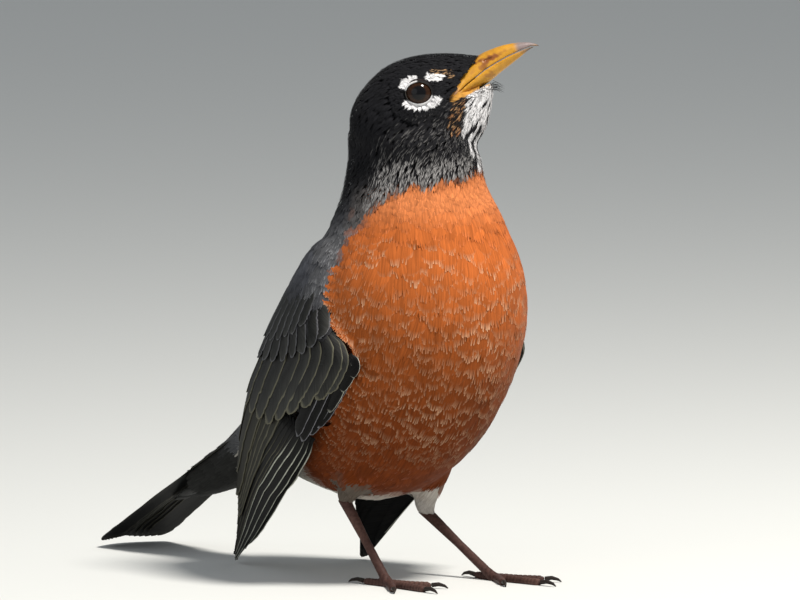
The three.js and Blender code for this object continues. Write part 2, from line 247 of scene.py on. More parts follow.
def coat_uv(points):
    """Where each point lies on an unwrap of the body: round its axis, and along it."""
    heading, place, middle = axis_frame(points)
    radial = points - middle
    radial -= heading * (radial * heading).sum(1, keepdims=True)
    across = unit(np.cross(heading, [1.0, 0, 0.02]))
    angle = np.arctan2(radial @ np.array([1.0, 0, 0]), (radial * across).sum(1))
    return np.stack([0.02 + 0.96 * (angle / (2 * math.pi) + 0.5), 0.02 + 0.96 * place], 1)


CROWN_HALF = 6  # the strip along the head's middle, where neither eye is near
FAR = 99.0


def eye_offset(points):
    """From the nearer eye's centre: forward, up, and how far in all, seen from the side."""
    local = head_local(points)
    forward = local[:, 0] - EYE_PLACE[0]
    up = local[:, 2] - EYE_PLACE[2]
    away = np.hypot(forward, up)
    away[np.abs(local[:, 1]) < CROWN_HALF] = FAR
    return forward, up, away


def lie_of_coat(points, normals):
    """The way the coat runs at each point, along the skin: from the bill back to the tail."""
    heading, _, _ = axis_frame(points)
    local = head_local(points)
    from_bill = unit(points - in_head(27, 0, 2))
    head_share = smoothstep(-26, 2, local[:, 0]) * smoothstep(108, 122, points[:, 2])
    flow = mix(heading, from_bill, 0.85 * head_share)
    flow = mix(flow, [0, 0.5, -0.85], 0.9 * leg_share(points))

    forward, up, away = eye_offset(points)
    outward = (forward / away)[:, None] * -HEAD_AXES[:, 1] + (up / away)[:, None] * HEAD_AXES[:, 2]
    inward = np.minimum((flow * outward).sum(1), 0)
    near = smoothstep(8.0, 4.4, away)
    flow = flow + outward * (near * (0.35 - inward))[:, None]
    flow = mix(flow, outward, 0.7 * eye_crescents(points))

    flow = flow - normals * (flow * normals).sum(1, keepdims=True)
    return unit(flow)


# Round each eye, the white crescents: degrees, and the radius of their inner and outer edges.
UPPER_CRESCENT = ((74, 108, 130, 143), (3.4, 3.2, 3.4, 3.8), (5.1, 6.0, 6.0, 5.5))
LOWER_CRESCENT = (
    (185, 207, 228, 261, 290, 324),
    (4.2, 3.4, 3.1, 3.1, 3.3, 3.6),
    (5.8, 5.2, 4.8, 4.9, 5.8, 6.9),
)


def eye_crescents(points):
    """1 on the white crescents over and under each eye, 0 away from them."""
    forward, up, away = eye_offset(points)
    turn = np.degrees(np.arctan2(up, forward)) % 360
    share = np.zeros(len(points))
    for degrees, inner, rim in (UPPER_CRESCENT, LOWER_CRESCENT):
        first, last = degrees[0], degrees[-1]
        ends = smoothstep(first - 4, first + 3, turn) * smoothstep(last + 4, last - 3, turn)
        low, high = np.interp(turn, degrees, inner), np.interp(turn, degrees, rim)
        band = smoothstep(low - 0.5, low - 0.1, away) * smoothstep(high + 0.25, high - 0.25, away)
        share = np.maximum(share, ends * band)
    return share


SHINS = (((-11.5, 15, 33), (-14, 22.5, 23)), ((10.5, 14, 31), (14, 21, 18)))  # knee and ankle


def leg_offset(points):
    """How far each point lies from the nearer shin, and its height over that ankle."""
    nearest = np.full(len(points), FAR)
    height = np.full(len(points), FAR)
    for knee, ankle in np.array(SHINS, float):
        bone = ankle - knee
        along = np.clip((points - knee) @ bone / (bone @ bone), 0, 1.2)
        away = np.linalg.norm(points - knee - along[:, None] * bone, axis=1)
        height = np.where(away < nearest, points[:, 2] - ankle[2], height)
        nearest = np.minimum(away, nearest)
    return nearest, height


def leg_share(points):
    """1 on the feathered part of each leg, 0 on the body."""
    away, height = leg_offset(points)
    return smoothstep(6.4, 4.8, away) * smoothstep(6.0, 3.2, height)


# ---- Skin: one form under the coat -----------------------------------------------------------

SKIN_NODES = [
    "trunk",
    "neck",
    "head",
    "thigh_right",
    "thigh_left",
    "tail_coverts",
    "wing_right_coverts",
    "wing_left_coverts",
]
CORE_NODES = ["bill_upper", "bill_lower", "eye_right", "eye_left"]
LAIN_OVER_NODES = ["tarsus_right", "tarsus_left", "tail"]
SEAM_GROWTH = 0.3  # closes the thin cuts between nodes
SKIN_VOXEL = 0.8
GAPE = (8.2, -2.4)  # corner of the mouth, forward and up from the head's centre
FACE_SLOPE = 1.72  # how the feathers' edge runs forward as it rises from there to the brow
CHIN_DROP = -1.0  # how far under the gape the feathers of the chin begin
CHIN_SLOPE = 0.02  # and how their edge rises forward


def joined_copy(name, nodes):
    """One mesh piece from copies of CAD nodes, with their shared corners merged."""
    form = bmesh.new()
    for node in nodes:
        form.from_mesh(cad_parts[node].data)
    bmesh.ops.remove_doubles(form, verts=form.verts, dist=1e-6)
    mesh = bpy.data.meshes.new(name)
    form.to_mesh(mesh)
    form.free()
    return add_object(name, mesh)


def smooth_mesh(mesh, rounds):
    """Evens a mesh out by moving each vertex halfway to the middle of its neighbours."""
    a, b = read_rows(mesh.edges, "vertices", 2, np.int32).T
    count = np.bincount(np.concatenate([a, b]), minlength=len(mesh.vertices))[:, None]
    points = mesh_points(mesh)
    for _ in range(rounds):
        total = np.zeros_like(points)
        np.add.at(total, a, points[b])
        np.add.at(total, b, points[a])
        points = points * 0.5 + 0.5 * total / np.maximum(count, 1)
    set_mesh_points(mesh, points)


def apply_modifiers(piece):
    graph = bpy.context.evaluated_depsgraph_get()
    made = bpy.data.meshes.new_from_object(piece.evaluated_get(graph))
    piece.modifiers.clear()
    piece.data = made


def coat_depth(points):
    """How deep the coat is over the skin, in millimetres."""
    local = head_local(points)
    head = smoothstep(112, 124, points[:, 2])
    face = head * smoothstep(2, 16, local[:, 0])
    depth = 2.1 - 0.7 * head - 0.7 * face
    away, height = leg_offset(points)
    ankle = smoothstep(7.0, 5.4, away) * smoothstep(4.5, 1.0, height)
    return (depth - 0.9 * leg_share(points)) * (1 - ankle) + 0.2 * ankle


def bill_share(points):
    """1 where the bare bill stands clear of the feathered face, 0 behind the feathers' edge."""
    local = head_local(points)
    forward, up = local[:, 0], local[:, 2]
    edge = GAPE[0] + np.maximum(up - GAPE[1], 0) * FACE_SLOPE
    under = up - GAPE[1] - CHIN_SLOPE * (forward - GAPE[0])
    lower = smoothstep(CHIN_DROP - 0.5, CHIN_DROP + 0.3, under)
    return smoothstep(edge - 0.4, edge + 0.4, forward) * lower


def smooth_form(name, nodes, voxel, growth, rounds):
    """One even, smooth mesh from CAD nodes, grown so that thin cuts between them close."""
    piece = joined_copy(name, nodes)
    move_along_normals(piece.data, growth)
    remesh = piece.modifiers.new("even", "REMESH")
    remesh.mode = "VOXEL"
    remesh.voxel_size = voxel * MM
    apply_modifiers(piece)
    smooth_mesh(piece.data, rounds)
    piece.data.polygons.foreach_set("use_smooth", np.ones(len(piece.data.polygons), bool))
    return piece


class Field:
    """Signed distance to a surface on a grid, and its direction, read between grid points."""

    def __init__(self, tree, low, high, step, reach):
        self.low = np.array(low, float)
        self.step = step
        counts = np.ceil((np.array(high) - self.low) / step).astype(int) + 1
        axes = [self.low[k] + step * np.arange(counts[k]) for k in range(3)]
        grid = np.stack(np.meshgrid(*axes, indexing="ij"), -1).reshape(-1, 3)
        distance = np.full(len(grid), float(reach))
        for index, place in enumerate(grid):
            found, normal, _, away = tree.find_nearest(place, reach)
            if found is not None:
                inside = (Vector(place) - found).dot(normal) < 0
                distance[index] = -away if inside else away
        self.distance = distance.reshape(counts)
        self.slope = np.stack(np.gradient(self.distance, step), -1)
        self.counts = counts

    def read(self, points):
        """Distance and outward direction at each point."""
        where = np.clip((points - self.low) / self.step, 0, self.counts - 1.001)
        base = where.astype(int)
        part = where - base
        distance = np.zeros(len(points))
        slope = np.zeros((len(points), 3))
        for corner in np.ndindex(2, 2, 2):
            weight = np.prod(np.where(corner, part, 1 - part), axis=1)
            x, y, z = (base + corner).T
            distance += weight * self.distance[x, y, z]
            slope += weight[:, None] * self.slope[x, y, z]
        return distance, unit(slope)

    def snap(self, points, height):
        """Points moved straight in or out to a height over the surface, in two rounds."""
        for _ in range(2):
            distance, normal = self.read(points)
            points = points + normal * (height - distance)[:, None]
        return points


def tree_of(points, faces):
    return BVHTree.FromPolygons(points.tolist(), faces.tolist())


def make_outer():
    """The coat's outer surface, with what it lies over at its ends, as a mesh and as a field."""
    form = smooth_form("outer", SKIN_NODES + CORE_NODES + LAIN_OVER_NODES, SKIN_VOXEL, SEAM_GROWTH, 6)
    points, faces = mesh_points(form.data), mesh_faces(form.data)
    bpy.data.objects.remove(form)
    field = Field(tree_of(points, faces), points.min(0) - 4, points.max(0) + 4, 1.5, 9.0)
    return points, faces, field


outer_points, outer_faces, outer = make_outer()
skin = smooth_form("skin", SKIN_NODES + CORE_NODES, SKIN_VOXEL, SEAM_GROWTH, 6)


def shrink_skin():
    """Sinks the skin by the coat's depth, thinning where the form is thin."""
    points = mesh_points(skin.data)
    depth = coat_depth(points) + SEAM_GROWTH + 1.8 * bill_share(points)
    move_along_normals(skin.data, -depth[:, None])
    smooth_mesh(skin.data, 3)
    points = mesh_points(skin.data)
    height, outward = outer.read(points)
    excess = np.maximum(height + 0.9 * depth, 0)
    set_mesh_points(skin.data, points - outward * excess[:, None])


shrink_skin()


def node_tree(*nodes):
    points, faces, count = [], [], 0
    for node in nodes:
        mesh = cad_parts[node].data
        points.append(mesh_points(mesh))
        faces.append(mesh_faces(mesh) + count)
        count += len(mesh.vertices)
    return tree_of(np.concatenate(points), np.concatenate(faces))


WING_TREES = {side: node_tree(f"wing_{side}_coverts") for side in ("right", "left")}
BODY_TREE = node_tree("trunk", "neck", "head", "tail_coverts")


def wing_gap(points):
    """Distance from each point to the nearer wing's coverts, in millimetres."""
    trees = WING_TREES.values()
    return np.array([min(tree.find_nearest(place)[3] for tree in trees) for place in points])


def wing_share(points):
    """1 where a point lies on a wing's coverts, 0 where it lies on the body."""
    share = np.zeros(len(points))
    for index, place in enumerate(points):
        if not (-5 < place[1] < 62 and 30 < place[2] < 100 and abs(place[0]) > 8):
            continue
        side = "right" if place[0] < 0 else "left"
        wing = WING_TREES[side].find_nearest(place)[3]
        body = BODY_TREE.find_nearest(place)[3]
        share[index] = 1.0 if wing < body + 0.2 else 0.0
    return share


# ---- Markings, and painted light and shade ---------------------------------------------------

ORANGE = rgb(0.46, 0.115, 0.025)
# the belly's deeper orange, darkened further as painted shade
DEEP_ORANGE_AND_SHADE = rgb(0.125, 0.026, 0.004)
# painted light on the top of the breast
LIT_ORANGE = rgb(0.60, 0.205, 0.075)
PALE_FRINGE = rgb(0.72, 0.42, 0.25)
BLACK = rgb(0.012, 0.012, 0.014)
NAPE = rgb(0.022, 0.022, 0.025)
NECK_GREY = rgb(0.082, 0.076, 0.075)
SLATE = rgb(0.048, 0.050, 0.060)
BACK_GREY = rgb(0.062, 0.062, 0.066)
RUMP_GREY = rgb(0.085, 0.087, 0.092)
QUILL_SHADE = rgb(0.020, 0.020, 0.019)
LESSER_GREY = rgb(0.030, 0.030, 0.033)
# painted highlight on the shoulder
SHOULDER_HIGHLIGHT = rgb(0.26, 0.26, 0.27)
WHITE = rgb(0.80, 0.79, 0.80)
VENT_WHITE = rgb(0.55, 0.52, 0.46)
GRIZZLE = rgb(0.30, 0.29, 0.285)
RUSTY = rgb(0.42, 0.17, 0.07)
BUFF = rgb(0.60, 0.36, 0.18)
# thigh colours: the right one in painted shade, the left one painted lit
THIGH_SHADED = rgb(0.105, 0.085, 0.068)
THIGH_LIT = rgb(0.40, 0.37, 0.34)


def ripple(points, scale, seed):
    """Smooth noise in space, about -1 to 1, from a few crossed waves."""
    state = np.random.default_rng(seed)
    value = np.zeros(len(points))
    for _ in range(6):
        wave = state.normal(size=3) / scale
        value += np.sin(points @ wave + state.uniform(0, 2 * math.pi))
    return value / 3


def breast_border(points):
    """Millimetres inside the orange of the underparts: positive within it."""
    x, y, z = points.T
    side = np.abs(x)
    wavy = 0.7 * ripple(points, 2.4, 11)
    top = 113.2 + 0.16 * x * (side < 12) - 0.0021 * (np.clip(side, 5, 23.5) - 5) ** 3 - z
    flank = 8.5 - y + 0.45 * np.maximum(92 - z, 0)
    vent = 39 - y + 0.3 * (z - 30)
    return np.minimum(np.minimum(top, flank), vent) + wavy


def coat_colour(points, wings):
    """The coat's colour at each point, with painted light and shade in places; the skin beneath takes the
    same colours.
    """
    x, y, z = points.T
    border = breast_border(points)

    colour = mix(SLATE, BACK_GREY, smoothstep(100, 80, z))
    colour = mix(colour, RUMP_GREY, smoothstep(48, 60, y))
    colour = mix(colour, QUILL_SHADE, smoothstep(72, 86, y))
    hood = smoothstep(98, 112, z + 0.35 * (y - 8))
    colour = mix(colour, NAPE, hood)
    beside = smoothstep(-9, -1, border) * smoothstep(97, 101, z) * smoothstep(112.5, 109, z)
    colour = mix(colour, NECK_GREY, beside * smoothstep(14, 8, y))
    colour = mix(colour, BLACK, smoothstep(110, 113.5, z))

    # Darker towards the belly: partly the belly's deeper orange, partly painted shade on the underside.
    orange = mix(ORANGE, DEEP_ORANGE_AND_SHADE, smoothstep(98, 36, z))
    # Paler towards the top of the breast: painted light.
    orange = mix(orange, LIT_ORANGE, 0.7 * smoothstep(98, 108, z))
    orange_share = smoothstep(-0.6, 0.6, border)
    colour = mix(colour, orange, orange_share)

    under_tail = smoothstep(-4, -6.5, z - (44 - 0.61 * (y - 66)))
    vent = smoothstep(32, 40, y) * smoothstep(40, 28, z + 0.25 * (y - 30))
    vent = np.where(y > 56, np.maximum(under_tail, vent), vent)
    belly_low = 0.8 * smoothstep(24.5, 22.4, z) * smoothstep(-6, 6, y)
    pale = mix(VENT_WHITE, QUILL_SHADE, smoothstep(69, 77, y))
    colour = mix(colour, pale, np.clip(vent + belly_low, 0, 1) * (1 - wings))

    # The right thigh is painted in shade and the left one lit: painted shade and painted light.
    thigh = mix(THIGH_SHADED, THIGH_LIT, smoothstep(-4, 6, x))
    colour = mix(colour, thigh, leg_share(points))

    wing = mix(LESSER_GREY, SLATE * 1.5, smoothstep(72, 92, z))
    return mix(colour, wing, wings)


# Marks on the face: (forward, up) from the eye's centre, in mm.
LORAL_SPOT = [(4.3, 3.4), (5.6, 2.3), (7.1, 1.7)]
LORAL_BUFF = [(6.6, 3.0), (8.6, 2.4), (10.4, 1.2)]
RUSTY_CHEEK = [(10.4, -6.8), (8.2, -8.4), (6.0, -10.8), (5.0, -13.6)]


def mark_share(forward, up, path, reach, soft=0.35):
    """1 within reach of a path of (forward, up) places, 0 away from it."""
    path = np.array(path, float)
    spot = np.stack([forward, up], 1)
    nearest = np.full(len(spot), 1e9)
    for a, b in zip(path[:-1], path[1:]):
        along = np.clip(((spot - a) @ (b - a)) / ((b - a) @ (b - a)), 0, 1)
        nearest = np.minimum(nearest, np.linalg.norm(spot - a - along[:, None] * (b - a), axis=1))
    return smoothstep(reach + soft, reach - soft, nearest)


def throat_share(points):
    """1 on the white, streaked chin and throat."""
    local = head_local(points)
    forward, side, up = local[:, 0], np.abs(local[:, 1]), local[:, 2]
    rear_edge = 11.5 + 0.62 * (up + 5.9) + 0.8 * ripple(points, 2.5, 5)
    front = smoothstep(rear_edge - 0.9, rear_edge + 0.9, forward)
    above_breast = smoothstep(-0.2, 1.0, -breast_border(points))
    return front * smoothstep(10.5, 8.5, side) * smoothstep(0.5, -1.5, up) * above_breast


def white_streaks(points):
    """True on the white of the chin and throat, between the black streaks."""
    local = head_local(points)
    turn = np.arctan2(local[:, 1], -local[:, 2])
    streak = np.sin(turn * 34 + 1.2 * np.sin(local[:, 0] * 0.7)) + 0.7 * ripple(points, 1.0, 9)
    return streak > -1.1 + 1.2 * smoothstep(-8, -16, local[:, 2])


def cheek_shares(points):
    """1 low on the cheeks, just over the breast; and 1 on the cheeks as a whole."""
    over = -breast_border(points)
    beside = smoothstep(9, 2, points[:, 1])
    low = smoothstep(-0.3, 1.0, over) * smoothstep(9.5, 4.5, over) * beside
    return low, smoothstep(-1, -8, head_local(points)[:, 2]) * beside * smoothstep(0, 1, over)


def face_marks(points, base):
    """Each tuft's colour, its tip's, how far its ends take the tip's and how many strips do."""
    forward, up, away = eye_offset(points)
    chance = rng.random(len(points))
    seen = away < FAR
    colour = base.copy()
    throat = throat_share(points) > 0.5
    white = white_streaks(points) & throat
    colour[throat] = BLACK
    colour[white] = WHITE * (0.8 + 0.2 * chance[white])[:, None]

    low_cheek, cheek = cheek_shares(points)
    fleck = np.maximum(0.7 * low_cheek, 0.22 * cheek) * ~throat
    grey = mix(GRIZZLE * 0.35, GRIZZLE * 1.25, low_cheek * (0.4 + 0.6 * chance))
    tip = mix(colour * 1.5 + 0.01, grey, fleck > 0.02)

    rusty = mark_share(forward, up, RUSTY_CHEEK, 1.7) * seen > 0.4
    tip[rusty] = mix(RUSTY * 0.7, BUFF * 0.8, rng.random(rusty.sum()))
    fleck[rusty] = 0.3

    spot = mark_share(forward, up, LORAL_SPOT, 0.85) * seen > 0.5
    colour[spot & (chance < 0.85)] = WHITE
    buff = (mark_share(forward, up, LORAL_BUFF, 1.3) * seen > 0.5) & ~spot
    tip[buff] = mix(BUFF * 0.6, BUFF, rng.random(buff.sum()))
    fleck[buff] = 0.3

    ring = eye_crescents(points) > 0.5
    colour[ring] = WHITE
    plain = (spot | ring | white) & ~rusty
    tip[plain] = colour[plain]
    fleck[white] = 0.12
    tip[white] = BLACK
    return colour, tip, 0.3 * ~white, fleck


# ---- Coat of tufts ---------------------------------------------------------------------------


def bare_face(points):
    """True where the bill is, and inside the eye openings: no tufts grow there."""
    forward = head_local(points)[:, 0]
    eye_forward, eye_up, away = eye_offset(points)
    turn = np.arctan2(eye_up, eye_forward) - LID_TILT
    opening = 1 / np.hypot(np.cos(turn) / LID_LONG, np.sin(turn) / LID_SHORT)
    return (bill_share(points) > 0.5) | (forward > 21.5) | (away < opening + 0.35)


TRIES = 7  # random spots for each root; those too near another one are dropped


def thin_out(spots, gaps):
    """Numbers of the spots that stay, where each keeps its gap from all those before it."""
    cell = float(gaps.max())
    kept, grid = [], {}
    keys = np.floor(spots / cell).astype(int)
    near = [(i, j, k) for i in (-1, 0, 1) for j in (-1, 0, 1) for k in (-1, 0, 1)]
    for index, (x, y, z) in enumerate(spots):
        kx, ky, kz = keys[index]
        limit = gaps[index] ** 2
        others = (other for i, j, k in near for other in grid.get((kx + i, ky + j, kz + k), ()))
        if all((p - x) ** 2 + (q - y) ** 2 + (r - z) ** 2 >= limit for p, q, r in others):
            grid.setdefault((kx, ky, kz), []).append((x, y, z))
            kept.append(index)
    return kept


def scatter(points, faces, spacing_of):
    """Roots spread evenly over a surface, about spacing_of(point) apart."""
    first, second, third = points[faces].transpose(1, 0, 2)
    area = np.linalg.norm(np.cross(second - first, third - first), axis=1) / 2
    density = TRIES / spacing_of(points[faces].mean(1)) ** 2
    count = rng.poisson(area * density)
    face = np.repeat(np.arange(len(faces)), count)
    a, b = rng.random((2, len(face), 1))
    flip = a + b > 1
    a[flip], b[flip] = 1 - a[flip], 1 - b[flip]
    spots = first[face] * (1 - a - b) + second[face] * a + third[face] * b
    spots = spots[rng.permutation(len(spots))]
    return spots[thin_out(spots, spacing_of(spots))]


def tuft_lie(roots, splay):
    """The way each tuft points, a little astray at random, along the coat's surface."""
    _, normal = outer.read(roots)
    lie = lie_of_coat(roots, normal)
    return unit(lie + (splay * rng.normal(size=len(roots)))[:, None] * np.cross(normal, lie))


TUFT_PATCH = 0.003  # each tuft's size on the baking map
TIP_BEND = 0.16  # how far a tuft's tip bends down to the tufts under it, in mm
FRINGED_SHARE = 0.8  # of a tuft's strips, those whose ends take the tip's colour


def round_end(across):
    """How far a tuft reaches at a place across it, as a share of its length."""
    return 1 - 0.36 * np.abs(across) ** 2.2


def tuft_faces(strips, joined, ends):
    """Triangles of one tuft: its rows of joined vertices come first, then each free strip's."""
    faces = []
    for level in range(joined - 1):
        for k in range(strips):
            a = level * (strips + 1) + k
            faces += [[a, a + 1, a + strips + 2], [a, a + strips + 2, a + strips + 1]]
    for k in range(strips):
        near = (joined - 1) * (strips + 1) + k
        far = near + 1
        start = joined * (strips + 1) + k * (2 * ends + 1)
        for after in range(start, start + 2 * ends, 2):
            faces += [[near, far, after + 1], [near, after + 1, after]]
            near, far = after, after + 1
        faces.append([near, far, start + 2 * ends])
    return np.array(faces)


def tuft_row(coat, side, level, across, reach, extra, shade, pale):
    """One row across every tuft: points, colours, and places on both maps.

    level is the row's share of the tuft's length, across and reach say where its vertices lie,
    extra is their added height, and pale how far they take the tip's colour.
    """
    flat = np.zeros_like(shade)
    roots, lie, rise = coat["root"], coat["lie"], coat["rise"]
    width, length = coat["width"][:, None], coat["length"][:, None]
    spread = (0.35 + 0.65 * math.sin(min(level / 0.62, 1) * math.pi / 2)) * width / 2
    height = rise[:, :1] + (rise[:, 1:] - rise[:, :1]) * level**0.3
    bend = TIP_BEND * smoothstep(0.7, 1.0, level)
    height = height - bend - 0.035 * width * across**2 + extra + flat
    x, y = across * spread, reach * length + flat
    spot = roots[:, None] + lie[:, None] * y[..., None] + side[:, None] * x[..., None]
    spot = outer.snap(spot.reshape(-1, 3), height.reshape(-1)).reshape(spot.shape)
    dark = 0.8 + 0.2 * min(level / 0.5, 1)
    tone = coat["base"][:, None] * (shade * dark)[..., None]
    tone = mix(tone, coat["tip"][:, None], pale + flat)
    bake = TUFT_PATCH * np.stack([across / 2 + flat, level - 0.5 + flat], -1)
    barb = np.stack([2.4 * x + 17.3 * np.arange(len(roots))[:, None], 0.12 * y], -1)
    return spot, tone, bake, barb


def in_order(held, free, kind):
    """One of the rows' four tables, with every tuft's vertices in tuft_faces' order."""
    before = np.concatenate([row[kind] for row in held], 1)
    after = np.stack([row[kind] for row in free], 2).reshape(len(before), -1, before.shape[2])
    return np.concatenate([before, after], 1)


def tuft_tables(coat, strips, joined, ends, uneven, astray):
    """Points, colours and places on both maps of every tuft, at random within its measures."""
    size = (len(coat["root"]), strips)
    _, normal = outer.read(coat["root"])
    side = np.cross(normal, coat["lie"])
    edge = np.linspace(-1, 1, strips + 1)
    middle = (edge[1:] + edge[:-1]) / 2
    split = joined[-1]
    strip_reach = round_end(middle) * (1 + uneven * rng.normal(size=size))
    drift = 0.7 / strips * rng.normal(size=size)
    lift = 0.06 * rng.normal(size=size)
    edge_shade = 1 + astray * rng.normal(size=(size[0], strips + 1)) + 0.07 * rng.normal(size=(size[0], 1))
    strip_shade = (edge_shade[:, 1:] + edge_shade[:, :-1]) / 2
    flecked = rng.random(size) < coat["fleck"][:, None]
    fringed = rng.random(size) < FRINGED_SHARE

    held = []
    for level in joined:
        held.append(tuft_row(coat, side, level, edge, level * round_end(edge), 0, edge_shade, 0))
    free = []
    for level in [*ends, 1.0]:
        part = (level - split) / (1 - split)
        pale = np.maximum(flecked, coat["fringe"][:, None] * fringed * smoothstep(0.91, 0.975, level))
        for near in (edge[:-1], edge[1:]) if level < 1 else (middle,):
            narrow = 0.4 * part**2 if level < 1 else 0
            across = near + (middle - near) * narrow + drift * part
            reach = (1 - part) * split * round_end(near) + part * strip_reach
            free.append(tuft_row(coat, side, level, across, reach, lift * part, strip_shade, pale))
    return [in_order(held, free, kind) for kind in range(4)]


def tufts(name, coat, strips, joined, ends, uneven, astray):
    """One joined mesh of tufts: small curved vanes whose ends part into pointed strips.

    coat holds one row for each tuft: its root on the coat's surface, lie, length and width, its
    rise over the surface at root and tip, and its colours. joined are the levels where a tuft's
    strips hold together, and ends the levels where they are free, before their points. uneven
    is how much the strips differ in length, and astray how much they differ in shade.
    """
    points, tones, bake, barb = tuft_tables(coat, strips, joined, ends, uneven, astray)
    count, each = points.shape[:2]
    bake = bake + coat_uv(coat["root"])[:, None]
    faces = tuft_faces(strips, len(joined), len(ends)) + each * np.arange(count)[:, None, None]
    points, tones, bake, barb = (table.reshape(count * each, -1) for table in (points, tones, bake, barb))
    piece = make_mesh(name, points, faces.reshape(-1, 3), tones, bake, down)
    add_barbs(piece.data, barb)
    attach(piece, "root")


# ---- Materials -------------------------------------------------------------------------------


def set_inputs(node, values):
    """Sets a node's own sockets, each named with _ for a space."""
    for socket, value in values.items():
        node.inputs[socket.replace("_", " ")].default_value = value


def new_material(name, **values):
    material = bpy.data.materials.new(name)
    material.use_nodes = True
    set_inputs(material.node_tree.nodes["Principled BSDF"], values)
    return material


def coat_material(name, streak=0.22, scale=900.0, bump=0.15, barbs=False, **values):
    """The painted colour, broken by fine noise over the form or along the barbs of a vane."""
    material = new_material(name, Sheen_Roughness=0.45, **values)
    nodes, links = material.node_tree.nodes, material.node_tree.links
    shader = nodes["Principled BSDF"]
    colour = nodes.new("ShaderNodeVertexColor")
    colour.layer_name = "coat"
    noise = nodes.new("ShaderNodeTexNoise")
    set_inputs(noise, {"Scale": scale, "Detail": 3.0})
    if barbs:
        place = nodes.new("ShaderNodeUVMap")
        place.uv_map = "barbs"
    else:
        place = nodes.new("ShaderNodeTexCoord")
    links.new(place.outputs["UV" if barbs else "Object"], noise.inputs["Vector"])
    ramp = nodes.new("ShaderNodeMapRange")
    set_inputs(ramp, {"From_Min": 0.3, "From_Max": 0.7, "To_Min": 1 - streak, "To_Max": 1 + streak})
    links.new(noise.outputs["Fac"], ramp.inputs["Value"])
    shade = nodes.new("ShaderNodeVectorMath")
    shade.operation = "SCALE"
    links.new(colour.outputs["Color"], shade.inputs[0])
    links.new(ramp.outputs["Result"], shade.inputs["Scale"])
    links.new(shade.outputs["Vector"], shader.inputs["Base Color"])
    relief = nodes.new("ShaderNodeBump")
    set_inputs(relief, {"Strength": bump, "Distance": 0.0002})
    links.new(noise.outputs["Fac"], relief.inputs["Height"])
    links.new(relief.outputs["Normal"], shader.inputs["Normal"])
    return material


MATT = {"Roughness": 0.9, "Sheen_Weight": 0.1, "Specular_IOR_Level": 0.06}
DOWNY = {"Roughness": 0.8, "Sheen_Weight": 0.04, "Specular_IOR_Level": 0.06}
under_coat = coat_material("under_coat", **MATT)
down = coat_material("down", 0.25, 1.0, 0.10, True, **DOWNY)


# ---- Sheets: curved surfaces that the long feathers lie on -----------------------------------


def through_rows(rows, t):
    """A smooth curve through rows of numbers, at places t counted in rows."""
    rows = np.asarray(rows, float)
    last = len(rows) - 1
    index = np.clip(np.floor(t).astype(int), 0, last - 1)
    part = (t - index)[:, None]
    before, here = rows[np.maximum(index - 1, 0)], rows[index]
    after, beyond = rows[index + 1], rows[np.minimum(index + 2, last)]
    bend = (after - before) * part + (2 * before - 5 * here + 4 * after - beyond) * part**2
    return here + 0.5 * (bend + (3 * here - before - 3 * after + beyond) * part**3)


class Sheet:
    """A surface read by row and by share across it: -1 is its front edge and 1 its rear one."""

    REACH = 1.25  # shares across, where the sheet has bent round past its edges

    def __init__(self, grid, rows, outside):
        self.grid = grid
        self.rows = rows
        along = np.gradient(grid, axis=0)
        across = np.gradient(grid, axis=1)
        normal = unit(np.cross(along, across))
        if (normal[len(grid) // 2, grid.shape[1] // 2] @ np.array(outside)) < 0:
            normal = -normal
        self.normal = normal
        self.along = along * (len(grid) - 1) / rows
        self.across = across * (grid.shape[1] - 1) / (2 * self.REACH)

    def read(self, t, v, table=None):
        """The sheet's places, or another table's values, at row t and share v."""
        table = self.grid if table is None else table
        i = np.clip(t / self.rows, 0, 0.99999) * (table.shape[0] - 1)
        j = np.clip((v / self.REACH + 1) / 2, 0, 0.99999) * (table.shape[1] - 1)
        a, b = i.astype(int), j.astype(int)
        p, q = (i - a)[..., None], (j - b)[..., None]
        upper = table[a, b] * (1 - q) + table[a, b + 1] * q
        lower = table[a + 1, b] * (1 - q) + table[a + 1, b + 1] * q
        return upper * (1 - p) + lower * p


# Rows of the wings from the shoulder to the tip: front edge, rear edge, and the swell between.
RIGHT_WING = [
    ((-23, 8, 96.5), (-19, 20, 98), 0.9),
    ((-26, 9, 91), (-18, 28, 93), 4),
    ((-29, 8.5, 83), (-15, 38.5, 84), 5.4),
    ((-31, 6, 74), (-12, 50, 71), 7.5),
    ((-32, -3.5, 64.5), (-11, 58, 59), 9),
    ((-30.5, 3, 55), (-11, 62.5, 51), 8.5),
    ((-28, 15.5, 41), (-11, 67, 39), 7),
    ((-24.5, 30, 27.5), (-10.8, 71, 26), 4.5),
    ((-18, 53.5, 10.8), (-10.3, 74.5, 10), 2),
    ((-12, 73, 0.9), (-9, 78, 0.9), 0.8),
]
LEFT_WING = [
    ((23, 8, 96.5), (19, 20, 98), 0.9),
    ((26, 9, 91), (18, 28, 93), 4),
    ((29, 8.5, 83), (15, 38.5, 84), 5.4),
    ((30.5, 6, 74), (12, 50, 71), 7.5),
    ((30.7, -2, 64.5), (12, 56, 58), 9),
    ((30.5, 3, 55), (13, 57, 50), 8.5),
    ((30, 15.5, 40), (15, 58, 38), 7),
    ((28.5, 28, 27.5), (17, 58.5, 27), 4.5),
    ((27, 46, 11.5), (21.5, 59.5, 10.5), 1.6),
    ((26, 58, 0.9), (24, 62, 0.9), 0.8),
]
WING_BLUNT = 0.75  # how square the wing's section is: 1 would be an ellipse


